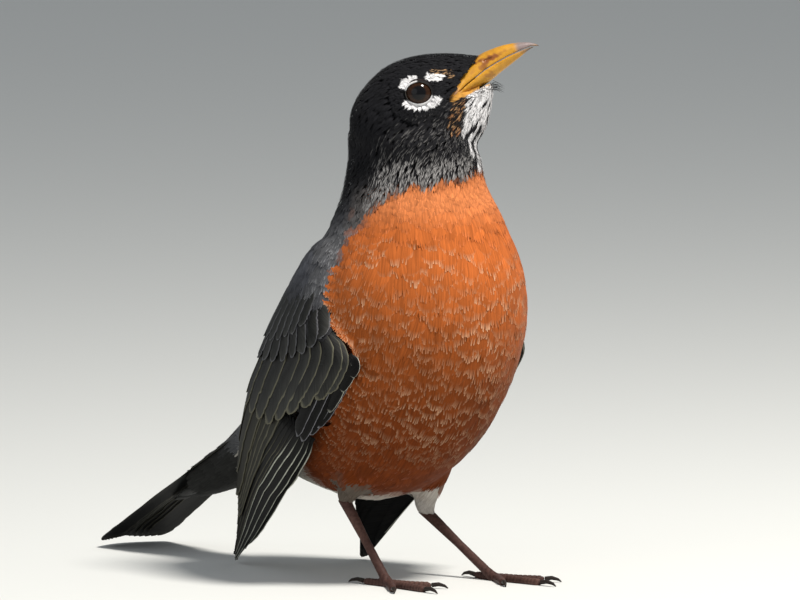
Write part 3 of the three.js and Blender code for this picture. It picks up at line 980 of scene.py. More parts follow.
def wing_sheet(rows, outside):
    front, rear = (np.array([row[k] for row in rows], float) for k in (0, 1))
    centre, half = (front + rear) / 2, (rear - front) / 2
    along = np.gradient(centre, axis=0)
    out = unit(np.cross(half, along))
    out *= np.sign(out[:, :1] * outside[0])
    swell = out * np.array([row[2] for row in rows])[:, None]
    last = len(rows) - 1
    t = np.linspace(0, last, 181)
    centre, half, swell, out = (through_rows(part, t) for part in (centre, half, swell, out))
    share = np.sin(np.linspace(-math.pi / 2, math.pi / 2, 201))
    depth = np.maximum(1 - np.abs(share) ** (2 / WING_BLUNT), 0) ** (WING_BLUNT / 2)
    columns = np.linspace(-Sheet.REACH, Sheet.REACH, 161)
    grid = np.empty((len(t), len(columns), 3))
    for k in range(len(t)):
        line = centre[k] + share[:, None] * half[k] + depth[:, None] * swell[k]
        arc = np.concatenate([[0], np.cumsum(np.linalg.norm(np.diff(line, axis=0), axis=1))])
        middle = arc[-1] / 2
        wrap = (Sheet.REACH - 1) * middle
        line = np.concatenate([[line[0] - out[k] * wrap], line, [line[-1] - out[k] * wrap]])
        place = np.concatenate([[-Sheet.REACH], arc / middle - 1, [Sheet.REACH]])
        for axis in range(3):
            grid[k, :, axis] = np.interp(columns, place, line[:, axis])
    return Sheet(grid, last, outside)


WING_SHEETS = {
    "right": wing_sheet(RIGHT_WING, (-1, 0, 0)),
    "left": wing_sheet(LEFT_WING, (1, 0, 0)),
}

TAIL_ROOT = np.array([0, 66, 44.0])
TAIL_END = np.array([0, 136.8, 1.9])
TAIL_HALF = 11.6
TAIL_DROP = 0.6  # how far the tail's edges lie below its middle


def tail_sheet():
    share = np.linspace(0, 1, 61)
    columns = np.linspace(-Sheet.REACH, Sheet.REACH, 81)
    line = TAIL_ROOT + share[:, None] * (TAIL_END - TAIL_ROOT)
    grid = np.repeat(line[:, None, :], len(columns), 1)
    grid[:, :, 0] += columns * TAIL_HALF
    grid[:, :, 2] -= TAIL_DROP * columns**2
    return Sheet(grid, 1, (0, 0.5, 0.85))


# ---- Vanes: the long feathers of the wings and tail ------------------------------------------

VANE_ACROSS = np.array([-1, -0.92, -0.82, -0.45, -0.07, 0.07, 0.45, 0.82, 0.94, 1])
VANE_STEPS = 26
VANE_THICKNESS = 0.14

QUILL_BLACK = rgb(0.010, 0.010, 0.010)
QUILL_BROWN = rgb(0.026, 0.025, 0.020)
COVERT_GREY = rgb(0.040, 0.040, 0.037)
COVERT_DARK = rgb(0.016, 0.016, 0.017)
EDGE_OLIVE = rgb(0.11, 0.105, 0.075)
EDGE_GREY = rgb(0.12, 0.12, 0.13)
EDGE_WHITE = rgb(0.55, 0.56, 0.48)


def look(web, centre, edge, front, rear, end):
    """A long feather's colours, and how strong its pale front, rear and end edges are."""
    return dict(web=web, centre=centre, edge=edge, front=front, rear=rear, end=end, shaft=web * 0.6)


PRIMARY = look(QUILL_BLACK, QUILL_BLACK * 0.7, EDGE_WHITE, 0.85, 0.0, 0.05)
PRIMARY_INNER = look(QUILL_BLACK, QUILL_BLACK * 0.8, EDGE_OLIVE, 0.7, 0.0, 0.2)
SECONDARY = look(QUILL_BROWN, QUILL_BROWN * 0.7, EDGE_OLIVE, 0.8, 0.2, 0.6)
TERTIAL = look(QUILL_BROWN * 1.15, QUILL_BROWN * 0.75, EDGE_OLIVE * 1.2, 0.6, 0.8, 0.8)
GREATER = look(COVERT_GREY, COVERT_DARK, EDGE_OLIVE * 1.2, 0.9, 0.35, 0.9)
MEDIAN = look(COVERT_GREY, COVERT_DARK * 0.6, EDGE_GREY, 0.8, 0.7, 1.0)
PRIMARY_COVERT = look(QUILL_BLACK, QUILL_BLACK * 0.7, EDGE_GREY * 1.5, 0.9, 0.1, 0.9)
ALULA = look(QUILL_BLACK, QUILL_BLACK * 0.6, EDGE_WHITE, 1.0, 0.0, 0.3)
RECTRIX = look(QUILL_BLACK * 1.1, QUILL_BLACK * 0.9, EDGE_OLIVE * 0.7, 0.4, 0.4, 0.3)


def feather(path, front, rear, lift, colours, tip, tilt, narrowed=0):
    """One long feather: (row, share) at its root, middle and end, and its webs' widths in mm.

    lift is its height over the sheet at root and end, tip the share of its length where its end
    begins to round, tilt how far its front edge lies over its rear one, and narrowed how much
    of the front web is cut away towards the end.
    """
    sizes = dict(path=path, front=front, rear=rear, lift=lift)
    return dict(sizes, colours=colours, tip=tip, tilt=tilt, narrowed=narrowed)


def across_spine(sheet, t, v, heading):
    """The steps of t and v that go one millimetre across a feather's spine."""
    side = np.cross(heading, sheet.read(t, v, sheet.normal))
    rowwise = sheet.read(t, v, sheet.across)
    side *= np.sign((side * rowwise).sum(1))[:, None]
    side = unit(side)
    lengthwise = sheet.read(t, v, sheet.along)
    a = (rowwise * rowwise).sum(1)
    b = (rowwise * lengthwise).sum(1)
    c = (lengthwise * lengthwise).sum(1)
    e = (side * rowwise).sum(1)
    f = (side * lengthwise).sum(1)
    scale = a * c - b * b
    return (a * f - b * e) / scale, (c * e - b * f) / scale


def vane_points(sheet, plan, wear):
    """The top surface of one feather as a grid of points, with its colours and measures."""
    q = 1 - (1 - np.linspace(0, 1, VANE_STEPS)) ** 1.7
    start, middle, end = (np.array(point, float) for point in plan["path"])
    control = 2 * middle - (start + end) / 2
    ease = q[:, None]
    line = start * (1 - ease) ** 2 + 2 * control * ease * (1 - ease) + end * ease**2
    t, v = line.T
    spine = sheet.read(t, v)
    across_t, across_v = across_spine(sheet, t, v, unit(np.gradient(spine, axis=0)))

    root = 0.4 + 0.6 * smoothstep(0, 0.25, q)
    end_round = np.clip((q - plan["tip"]) / (1 - plan["tip"]), 0, 1)
    width = root * np.sqrt(np.maximum(1 - end_round**2.4, 0.0004))
    front_cut = 1 - plan["narrowed"] * smoothstep(0.50, 0.58, q)
    x = np.where(VANE_ACROSS < 0, plan["front"], plan["rear"])[None] * VANE_ACROSS[None]
    x = x * width[:, None] * np.where(VANE_ACROSS < 0, front_cut[:, None], 1)
    x = x * (1 - wear * np.abs(VANE_ACROSS[None]) ** 3)
    spread_t = t[:, None] + across_t[:, None] * x
    spread_v = v[:, None] + across_v[:, None] * x
    height = plan["lift"][0] + (plan["lift"][1] - plan["lift"][0]) * q[:, None]
    height = height - plan["tilt"] * VANE_ACROSS[None] - 0.12 * VANE_ACROSS[None] ** 2
    height = height + 0.10 * np.exp(-((VANE_ACROSS[None] / 0.09) ** 2)) * (1 - 0.6 * q[:, None])
    where = sheet.read(spread_t, spread_v)
    up = unit(sheet.read(spread_t, spread_v, sheet.normal))
    length = np.concatenate([[0], np.cumsum(np.linalg.norm(np.diff(spine, axis=0), axis=1))])
    return where + up * height[..., None], up, x, q, length


def vane_colours(plan, q, shade):
    colours = plan["colours"]
    across = VANE_ACROSS[None]
    middle = np.exp(-((across / 0.5) ** 2)) * smoothstep(1.0, 0.75, q)[:, None]
    tone = mix(np.broadcast_to(colours["web"], (len(q), across.shape[1], 3)), colours["centre"], middle)
    tone = mix(tone, colours["shaft"], np.exp(-((across / 0.08) ** 2)) * np.ones_like(middle))
    side = np.where(across < 0, colours["front"], colours["rear"])
    rim = smoothstep(0.86, 0.92, np.abs(across)) * side * smoothstep(0.05, 0.3, q)[:, None]
    ends = smoothstep(0.955, 0.99, q)[:, None] * colours["end"] * np.ones_like(across)
    pale = np.clip(np.maximum(rim, ends), 0, 1)
    return mix(tone * shade, np.broadcast_to(colours["edge"], tone.shape), pale)


def make_vanes(name, sheet, plans):
    """One joined piece of long feathers, each a closed blade with its own place on the map."""
    columns = math.ceil(math.sqrt(len(plans) / 2))
    rows = math.ceil(len(plans) / columns)
    wide = len(VANE_ACROSS)
    points, tones, uvs, barbs, faces, count = [], [], [], [], [], 0
    for index, plan in enumerate(plans):
        wear = 0.05 * rng.normal(size=(VANE_STEPS, 1))
        top, up, x, q, length = vane_points(sheet, plan, wear)
        bottom = top - up * VANE_THICKNESS
        shade = 1 + 0.10 * rng.normal()
        tone = vane_colours(plan, q, shade)
        u = (index % columns + 0.06 + 0.88 * (VANE_ACROSS + 1) / 2) / columns
        w = (index // columns + 0.04 + 0.92 * q) / rows
        uv = np.stack(np.broadcast_arrays(u[None, :], w[:, None]), -1)
        barb_u = length[:, None] - 1.4 * np.abs(x) + 37.0 * index
        barb = np.stack([barb_u, np.abs(x) * 0.12 + 5.0 * index], -1)
        for layer in (top, bottom):
            points.append(layer.reshape(-1, 3))
            tones.append(tone.reshape(-1, 3))
            uvs.append(uv.reshape(-1, 2))
            barbs.append(barb.reshape(-1, 2))
        faces.append(blade_faces(VANE_STEPS, wide) + count)
        count += 2 * VANE_STEPS * wide
    piece = make_mesh(
        name,
        np.concatenate(points),
        np.concatenate(faces),
        np.concatenate(tones),
        np.concatenate(uvs),
        vane_finish,
    )
    add_barbs(piece.data, np.concatenate(barbs))
    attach(piece, "root")
    return piece


def blade_faces(steps, wide):
    """Quads that close a top and a bottom grid of points into one thin blade."""
    layer = steps * wide
    i, j = np.meshgrid(np.arange(steps - 1), np.arange(wide - 1), indexing="ij")
    a = (i * wide + j).ravel()
    top = np.stack([a, a + 1, a + wide + 1, a + wide], 1)
    bottom = top[:, ::-1] + layer
    rim = [k * wide for k in range(steps)]
    rim += [(steps - 1) * wide + k for k in range(1, wide)]
    rim += [k * wide + wide - 1 for k in range(steps - 2, -1, -1)]
    rim += list(range(wide - 2, 0, -1))
    rim = np.array(rim)
    after = np.roll(rim, -1)
    wall = np.stack([rim, after, after + layer, rim + layer], 1)
    return np.concatenate([top, bottom, wall])


vane_finish = coat_material("vane", 0.30, 1.6, 0.12, True, Roughness=0.55, Specular_IOR_Level=0.05)


# Places on the wing are (row, share). Primaries, from the innermost out: middle and tip.
PRIMARIES = (
    ((6.75, 0.30), (7.9, 0.80)),
    ((6.8, 0.18), (8.1, 0.80)),
    ((6.85, 0.05), (8.3, 0.78)),
    ((6.9, -0.03), (8.5, 0.72)),
    ((6.9, -0.11), (8.7, 0.60)),
    ((6.95, -0.31), (8.9, 0.40)),
    ((7.0, -0.53), (9.0, 0.10)),
    ((7.05, -0.72), (8.95, -0.35)),
    ((7.0, -0.90), (8.6, -0.92)),
)
# Root, middle and end of each tertial, primary covert and alula feather.
TERTIALS = (
    ((4.2, 0.10), (5.9, 0.42), (7.35, 0.80)),
    ((4.1, 0.35), (5.6, 0.60), (6.9, 0.92)),
    ((4.0, 0.60), (5.2, 0.80), (6.3, 1.02)),
)
PRIMARY_COVERTS = (
    ((4.4, -1.00), (5.2, -0.99), (5.82, -0.93)),
    ((4.5, -0.94), (5.4, -0.92), (5.97, -0.88)),
    ((4.5, -0.86), (5.4, -0.84), (6.12, -0.81)),
    ((4.5, -0.78), (5.3, -0.74), (6.02, -0.71)),
)
ALULA_FEATHERS = (
    ((4.0, -0.96), (4.8, -0.99), (5.48, -0.97)),
    ((3.9, -0.99), (4.5, -1.02), (5.02, -1.00)),
    ((3.8, -1.00), (4.2, -1.03), (4.60, -1.03)),
)
# Row and share of the end, and the mean width of a web in mm, from the wing's front edge back.
GREATER_COVERTS = (
    (5.08, -0.87, 2.6),
    (5.22, -0.78, 3.2),
    (5.38, -0.62, 4.0),
    (5.53, -0.41, 4.6),
    (5.68, -0.21, 4.8),
    (5.78, -0.01, 5.0),
    (5.70, 0.24, 5.2),
    (5.60, 0.47, 5.2),
    (5.42, 0.68, 5.0),
    (5.15, 0.87, 4.8),
    (4.85, 1.03, 4.4),
)
MEDIAN_COVERTS = (
    (3.42, -0.80, 3.2),
    (3.66, -0.62, 4.0),
    (3.86, -0.40, 4.6),
    (3.94, -0.19, 4.8),
    (4.03, 0.02, 5.0),
    (4.03, 0.24, 5.0),
    (3.99, 0.46, 5.0),
    (3.93, 0.67, 4.8),
    (3.86, 0.87, 4.4),
    (3.76, 1.03, 4.2),
)
NARROWED_FROM = 4  # the outer primaries, from this one on, have a front web that narrows


def flight_feathers():
    """Primaries from the outermost in, then secondaries and tertials, each over the last."""
    plans = []
    roots = np.linspace((5.6, -0.35), (6.1, -0.95), len(PRIMARIES))
    for k in reversed(range(len(PRIMARIES))):
        level = -1.15 - 0.06 * k
        colours, narrowed = (PRIMARY, 0.35) if k >= NARROWED_FROM else (PRIMARY_INNER, 0)
        path = (roots[k], *PRIMARIES[k])
        plans.append(feather(path, 2.3, 5.4, (level, level), colours, 0.72, 0.22, narrowed))
    for k in range(6):
        path = ((4.4, -0.35 + 0.13 * k), (6.1, 0.02 + 0.12 * k), (7.72 - 0.1 * k, 0.62 + 0.03 * k))
        plans.append(feather(path, 3.6, 5.6, (-1.2, -0.75), SECONDARY, 0.86, 0.25))
    for k, path in enumerate(TERTIALS):
        plans.append(feather(path, 5.0, 5.6, (-1.0, -0.40 + 0.15 * k), TERTIAL, 0.84, 0.25))
    return plans


def wing_feathers():
    """The long feathers of one wing, from the lowest layer to the highest."""
    plans = flight_feathers()
    for path in PRIMARY_COVERTS:
        plans.append(feather(path, 1.5, 3.0, (-0.9, -0.6), PRIMARY_COVERT, 0.75, 0.2))
    for path in ALULA_FEATHERS:
        plans.append(feather(path, 1.0, 1.9, (-0.7, -0.1), ALULA, 0.7, 0.15))
    for row, share, half in GREATER_COVERTS:
        shift = 0.30 * math.sin(min(share + 1, 1.6) / 1.6 * math.pi * 0.9)
        path = ((3.2, share - shift), (0.5 * (3.2 + row), share - 0.45 * shift), (row, share))
        plans.append(feather(path, half * 0.85, half * 1.15, (-0.9, -0.25), GREATER, 0.84, 0.30))
    for row, share, half in MEDIAN_COVERTS:
        path = ((2.5, share * 0.92 - 0.1), (0.5 * (2.5 + row), share - 0.05), (row, share))
        plans.append(feather(path, half * 0.95, half * 1.1, (-0.6, 0.05), MEDIAN, 0.60, 0.26))
    for row, share, half in MEDIAN_COVERTS[1:]:
        middle = (0.5 * (2.1 + row) - 0.2, share + 0.06)
        path = ((2.1, share * 0.9 - 0.02), middle, (row - 0.52, share + 0.10))
        plans.append(feather(path, half * 0.85, half * 0.95, (-0.4, 0.25), MEDIAN, 0.55, 0.24))
    return plans


def tail_feathers():
    """Six pairs of tail feathers: the middle pair lies on top, the outer pair lowest."""
    plans = []
    for k in range(5, -1, -1):
        for side in (-1, 1):
            start = (0.02, side * (0.03 + 0.04 * k))
            middle = (0.5, side * (0.08 + 0.11 * k))
            end = (1.0 - 0.0012 * k * k, side * (0.12 + 0.145 * k))
            level = 0.4 - 0.24 * k
            webs = (3.2, 5.4) if side < 0 else (5.4, 3.2)
            tilt = 0.12 * side
            plans.append(feather((start, middle, end), *webs, (level, level), RECTRIX, 0.93, tilt))
    return plans


def make_long_feathers():
    for side, sheet in WING_SHEETS.items():
        wing = make_vanes(f"feathers_wing_{side}", sheet, wing_feathers())
        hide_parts(f"wing_{side}_secondaries", f"wing_{side}_primaries")
    tail = make_vanes("feathers_tail", tail_sheet(), tail_feathers())
    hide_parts("tail")


make_long_feathers()


# ---- Bill ------------------------------------------------------------------------------------

BILL_ORANGE = rgb(0.52, 0.245, 0.018)
BILL_YELLOW = rgb(0.60, 0.29, 0.025)
BILL_BROWN = rgb(0.20, 0.055, 0.015)
BILL_TIP_GREY = rgb(0.21, 0.175, 0.19)
GAPE_SKIN = rgb(0.50, 0.25, 0.05)
GAPE_PINK = rgb(0.66, 0.36, 0.20)
NOSTRIL = (22.3, 3.2)  # forward and up from the head's centre
BILL_TIP_DARK = rgb(0.10, 0.08, 0.08)
# Brown marks on the bill: forward, up, half their length and height, and their strength.
BILL_SMUDGES = (
    (22.6, 3.2, 3.0, 0.95, 0.9),
    (20.4, 2.0, 1.5, 1.1, 0.6),
    (15.9, -2.4, 2.2, 0.40, 0.85),
    (21.2, -0.9, 1.7, 0.80, 0.5),
    (26.4, 3.5, 1.5, 0.7, 0.35),
)


def bill_colour(points):
    local = head_local(points)
    forward, up = local[:, 0], local[:, 2]
    lower = smoothstep(2.0, -1.0, up - 0.12 * (forward - 14))
    colour = mix(BILL_ORANGE, BILL_YELLOW, lower * smoothstep(30, 18, forward))
    smudge = smoothstep(0.25, 0.7, ripple(local, 1.3, 21)) * smoothstep(27, 18, forward)
    colour = mix(colour, BILL_BROWN, 0.55 * smudge)
    for along, height, long, tall, strength in BILL_SMUDGES:
        away = np.hypot((forward - along) / long, (up - height) / tall) + 0.5 * ripple(local, 0.55, 8)
        colour = mix(colour, BILL_BROWN, strength * smoothstep(1.25, 0.5, away))
    upper = smoothstep(0.6, 2.0, up)
    grey = 0.92 * smoothstep(29.5, 33, forward + ripple(local, 1.5, 4)) * upper
    colour = mix(colour, BILL_TIP_GREY, grey)
    colour = mix(colour, BILL_TIP_DARK, smoothstep(31, 34, forward) * (1 - upper))
    return mix(colour, GAPE_PINK, smoothstep(12.5, 10.0, forward))


def make_bill():
    gloss = {"Roughness": 0.40, "Specular_IOR_Level": 0.3, "Coat_Weight": 0.08}
    finish = coat_material("bill_horn", 0.12, 700.0, 0.08, **gloss)
    for half in ("bill_upper", "bill_lower"):
        piece = smooth_form(half + "_horn", [half], 0.24, 0.05, 5)
        points = mesh_points(piece.data)
        local = head_local(points)
        away = np.hypot((local[:, 0] - NOSTRIL[0]) / 1.5, (local[:, 2] - NOSTRIL[1]) / 0.5)
        dent = 0.55 * smoothstep(1.15, 0.35, away) * (half == "bill_upper")
        points = points - mesh_normals(piece.data) * dent[:, None]
        set_mesh_points(piece.data, points)
        paint(piece.data, bill_colour(points))
        piece.data.materials.append(finish)
        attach(piece, "root")
        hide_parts(half)


make_bill()


# ---- Eyes and lids ---------------------------------------------------------------------------

PUPIL_BLACK = rgb(0.003, 0.003, 0.004)
IRIS_BROWN = rgb(0.034, 0.013, 0.005)
IRIS_DARK = rgb(0.012, 0.007, 0.006)
PUPIL_RADIUS = 1.95
IRIS_RADIUS = 3.75
LID_PALE = rgb(0.13, 0.115, 0.10)
LID_BLACK = rgb(0.012, 0.012, 0.013)

WET = {"Roughness": 0.10, "Specular_IOR_Level": 0.12, "Coat_Weight": 0.25}
eye_finish = coat_material("eye_gloss", 0.0, 900.0, 0.0, **WET)


def eye_ball(side):
    """A fine ball whose pole looks out to the side: side is 1 for the right eye, -1 for the left."""
    around, steps = 64, 48
    polar = np.linspace(0.002, math.pi - 0.002, steps)
    turn = np.arange(around) * 2 * math.pi / around
    radius = EYE_RADIUS + 0.22 * np.exp(-((polar / 0.62) ** 2))
    ring = radius * np.sin(polar)
    forward = EYE_PLACE[0] + ring[:, None] * np.cos(turn)[None]
    up = EYE_PLACE[2] + ring[:, None] * np.sin(turn)[None]
    out = side * (EYE_PLACE[1] + (radius * np.cos(polar))[:, None] * np.ones_like(forward))
    spots = np.stack([forward.ravel(), out.ravel(), up.ravel()], 1)
    points = np.array([in_head(*spot) for spot in spots])
    distance = np.repeat(EYE_RADIUS * np.sin(np.minimum(polar, math.pi / 2)), around)
    angle = np.tile(turn, steps)
    spokes = 0.75 + 0.25 * np.sin(angle * 23 + 2 * np.sin(angle * 7))
    out_of_pupil = smoothstep(PUPIL_RADIUS - 0.1, PUPIL_RADIUS + 0.15, distance)
    colour = mix(PUPIL_BLACK, IRIS_BROWN * spokes[:, None], out_of_pupil)
    colour = mix(colour, IRIS_DARK, smoothstep(IRIS_RADIUS - 0.9, IRIS_RADIUS, distance))
    faces = ring_faces(steps, around, side < 0)
    uv = np.stack([angle / (2 * math.pi) * 0.98 + 0.01, np.repeat(polar / math.pi, around)], 1)
    name = "right" if side > 0 else "left"
    piece = make_mesh(f"eyeball_{name}", points, faces, colour, uv, eye_finish)
    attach(piece, "root")
    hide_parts(f"eye_{name}")


eye_ball(1)
eye_ball(-1)


def lid_ring(side):
    """Points, quads and colours of the lids: a ring from the eye's opening out under the coat."""
    around, steps = 96, 12
    turn = np.arange(around) * 2 * math.pi / around
    opening = 1 / np.hypot(np.cos(turn - LID_TILT) / LID_LONG, np.sin(turn - LID_TILT) / LID_SHORT)
    share = np.linspace(0, 1, steps)
    reach = opening[None] + (5.2 - opening)[None] * share[:, None] ** 1.3
    swell = 0.10 + 0.30 * np.sin(np.clip(share / 0.4, 0, 1) * math.pi)[:, None] * np.ones((1, around))
    swell[0] = 0.0
    ball = np.sqrt(np.maximum((EYE_RADIUS + 0.12 + swell) ** 2 - reach**2, 0.2))
    forward = EYE_PLACE[0] + reach * np.cos(turn)
    up = EYE_PLACE[2] + reach * np.sin(turn)
    out = EYE_PLACE[1] + ball
    points = HEAD_CENTRE + np.stack([-side * out.ravel(), -forward.ravel(), up.ravel()], 1) @ HEAD_AXES.T
    floor = outer.snap(points, -0.75)
    blend = np.repeat(smoothstep(0.25, 0.75, share), around)
    points = points * (1 - blend)[:, None] + floor * blend[:, None]
    pale = np.repeat(smoothstep(0.12, 0.04, share), around)
    colours = mix(LID_BLACK, LID_PALE, pale)
    colours = mix(colours, WHITE * 0.8, eye_crescents(points))
    return points, ring_faces(steps, around, side < 0), colours


# ---- Legs, feet and claws --------------------------------------------------------------------

LEG_NODES = ["tarsus_right", "tarsus_left", "foot_right", "foot_left"]
LEG_BROWN = rgb(0.075, 0.040, 0.034)
LEG_LIGHT = rgb(0.145, 0.080, 0.064)
CLAW_DARK = rgb(0.030, 0.024, 0.021)
FEET = {"right": np.array([-16.0, 0, 0]), "left": np.array([17.0, -7.0, 0])}
TOE_NAMES = ("middle", "inner", "outer", "hind")
SCUTE = 1.35  # length of one scute on a toe


def make_legs():
    """Bare legs and feet: smooth shanks, and toes ringed with scutes, on flat soles."""
    legs = smooth_form("legs", LEG_NODES, 0.3, 0.06, 3)
    points = mesh_points(legs.data)
    normals = mesh_normals(legs.data)
    side = np.where(points[:, :1] < 0, FEET["right"], FEET["left"])
    away = np.hypot(points[:, 0] - side[:, 0], points[:, 1] - side[:, 1])
    toe = smoothstep(4.5, 2.8, points[:, 2])
    along = np.where(points[:, 2] > 3.6, points[:, 2] * 0.62, away)
    phase = along / SCUTE - np.floor(along / SCUTE)
    groove = np.exp(-(((phase - 0.5) / 0.16) ** 2))
    depth = groove * (0.03 + 0.08 * toe) * smoothstep(-0.3, 0.3, normals[:, 2] + 0.4 * (1 - toe))
    points = points - normals * depth[:, None]
    points[:, 2] = np.maximum(points[:, 2], 0)
    colour = mix(LEG_BROWN, LEG_LIGHT, 0.6 * smoothstep(0, 1, ripple(points, 3.0, 2)))
    colour = mix(colour, LEG_BROWN * 0.45, groove * (0.25 + 0.35 * toe))
    faces = mesh_faces(legs.data)
    bpy.data.objects.remove(legs)
    return points, faces, colour


def make_claws():
    finish = coat_material("claw_horn", 0.15, 900.0, 0.05, Roughness=0.35, Specular_IOR_Level=0.06)
    for side in ("right", "left"):
        nodes = [f"claw_{side}_{toe}" for toe in TOE_NAMES]
        claws = smooth_form(f"claws_{side}", nodes, 0.13, 0.05, 3)
        points = mesh_points(claws.data)
        points[:, 2] = np.maximum(points[:, 2], 0)
        set_mesh_points(claws.data, points)
        paint(claws.data, np.broadcast_to(CLAW_DARK, points.shape))
        claws.data.materials.append(finish)
        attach(claws, "root")
        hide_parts(*nodes)


make_claws()


# ---- Skin finish: body, legs and lids in one piece -------------------------------------------


def finish_skin():
    """Joins the sunk body, the legs and the lids into the one skin, painted as the coat is."""
    body = mesh_points(skin.data)
    body_faces = mesh_faces(skin.data)
    body_colour = coat_colour(body, wing_share(body))
    body_colour = mix(body_colour, WHITE, 0.8 * throat_share(body)) * 0.9
    body_colour = mix(body_colour, GAPE_SKIN, smoothstep(0.2, 0.5, bill_share(body)))
    middles = body[body_faces].mean(1)
    under_bill = (bill_share(middles) > 0.5) & (head_local(middles)[:, 0] > 17)
    body_faces = body_faces[~under_bill]
    bpy.data.objects.remove(skin)
    parts = [(body, body_faces, body_colour, 0), (*make_legs(), 1)]
    for side in (1, -1):
        points, faces, colours = lid_ring(side)
        faces = np.concatenate([faces[:, [0, 1, 2]], faces[:, [0, 2, 3]]])
        parts.append((points, faces, colours, 2))
    points = np.concatenate([part[0] for part in parts])
    colours = np.concatenate([part[2] for part in parts])
    starts = np.cumsum([0] + [len(part[0]) for part in parts])
    faces = np.concatenate([part[1] + start for part, start in zip(parts, starts)])
    finish = np.concatenate([np.full(len(part[1]), part[3], np.int32) for part in parts])
    piece = make_mesh("skin_whole", points, faces, colours, coat_uv(points), under_coat)
    bare = {"Roughness": 0.5, "Specular_IOR_Level": 0.06}
    scaly = {"Roughness": 0.45, "Specular_IOR_Level": 0.06}
    piece.data.materials.append(coat_material("leg_scales", 0.25, 1300.0, 0.25, **scaly))
    piece.data.materials.append(coat_material("lid_skin", 0.15, 1500.0, 0.2, **bare))
    piece.data.polygons.foreach_set("material_index", finish)
    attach(piece, "root")
    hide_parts(*SKIN_NODES, *LEG_NODES)


finish_skin()


# ---- Laying the coat -------------------------------------------------------------------------

COVERT_START = 2.85  # row of the wing where the tufts give way to long coverts
EYE_SURROUND = 7.6  # the smallest tufts lie this close to an eye's middle
EYE_TUFT_GAP = 0.54
EYE_TUFT_LENGTH = 1.7
EYE_TUFT_WIDTH = 0.92
SMALL_TUFTS_FROM = 106  # height above which the grey and black tufts are small ones
BELLY_TOP = 66  # height below which the breast's tufts count as the belly's
TAIL_START = 92  # behind this, long feathers cover the skin
SEEN_PART = 0.62  # a tuft takes its colours from the place this share of its length along it


def spacing(points):
    """Millimetres between tuft roots: widest on the belly, closest on the face."""
    local = head_local(points)
    head = smoothstep(99, 110, points[:, 2])
    face = smoothstep(112, 120, points[:, 2]) * smoothstep(-6, 8, local[:, 0])
    _, _, away = eye_offset(points)
    shoulder = smoothstep(50, 62, points[:, 2]) * smoothstep(-6, 2, points[:, 1])
    edge = smoothstep(7, 3, np.abs(breast_border(points))) * smoothstep(60, 70, points[:, 2])
    size = 2.6 - 0.35 * shoulder - 0.6 * edge
    size = size * (1 - head) + (0.95 - 0.27 * face) * head
    size = np.where(away < EYE_SURROUND, np.minimum(size, EYE_TUFT_GAP), size)
    return size * (1 - 0.5 * leg_share(points))


def wing_row(points, side):
    """Row of the wing sheet that each point lies nearest to."""
    sheet = WING_SHEETS[side]
    tree = KDTree(sheet.grid.shape[0] * sheet.grid.shape[1] // 4 + 400)
    rows, columns = sheet.grid.shape[:2]
    for i in range(0, rows, 2):
        for j in range(0, columns, 2):
            tree.insert(sheet.grid[i, j], i * columns + j)
    tree.balance()
    found = np.array([tree.find(place)[1] for place in points])
    return found // columns * sheet.rows / (rows - 1)


def under_long_coverts(points, wings):
    """True where a root lies on a wing below the tufted shoulder."""
    hidden = np.zeros(len(points), bool)
    for side, sign in (("right", -1), ("left", 1)):
        here = (wings > 0.5) & (points[:, 0] * sign > 0)
        if here.any():
            hidden[here] = wing_row(points[here], side) > COVERT_START
    return hidden


def tuft_roots():
    """Roots over the whole coat, clear of the bill, eyes, shanks, tail and long coverts."""
    fine = spacing(outer_points[outer_faces].mean(1)) < 1.5
    roots = np.concatenate([scatter(outer_points, outer_faces[part], spacing) for part in (fine, ~fine)])
    away, height = leg_offset(roots)
    on_shank = (away < 9) & (height < 0.3)
    on_tail = roots[:, 1] > TAIL_START
    roots = roots[~bare_face(roots) & ~on_tail & ~on_shank & (roots[:, 2] > 15)]
    wings = wing_share(roots)
    keep = ~under_long_coverts(roots, wings)
    return roots[keep], wings[keep]


def tuft_sizes(roots, wings, head):
    """Length and width of every tuft, and its heights over the surface at root and tip."""
    height = roots[:, 2]
    _, _, eye_away = eye_offset(roots)
    leg_away, ankle_height = leg_offset(roots)
    border = breast_border(roots)
    gap = spacing(roots)
    length = gap * (3.6 + 0.4 * head + 1.2 * throat_share(roots))
    length = length * (1 + 0.1 * rng.normal(size=len(roots)))
    before_wing = (wings < 0.5) & (border > 0) & (height < 96)
    length = np.where(before_wing, np.minimum(length, 1.7 + wing_gap(roots)), length)
    length = np.where(eye_away < EYE_SURROUND, np.minimum(length, EYE_TUFT_LENGTH), length)
    to_ankle = 2.4 + 0.8 * np.maximum(ankle_height, 0)
    length = np.where(leg_away < 7, np.minimum(length, to_ankle), length)
    width = gap * (2.7 - 1.4 * head * (border < 0))
    width = np.where(eye_away < EYE_SURROUND, EYE_TUFT_WIDTH, width)
    upper_breast = smoothstep(66, 98, height) * smoothstep(-1, 1, border) * (wings < 0.5)
    depth = coat_depth(roots) * (1 - 0.6 * upper_breast)
    top = 0.12 - SEAM_GROWTH + 0.05 * gap * rng.random(len(roots))
    return length, width, np.stack([-0.8 * depth - SEAM_GROWTH, top], 1)


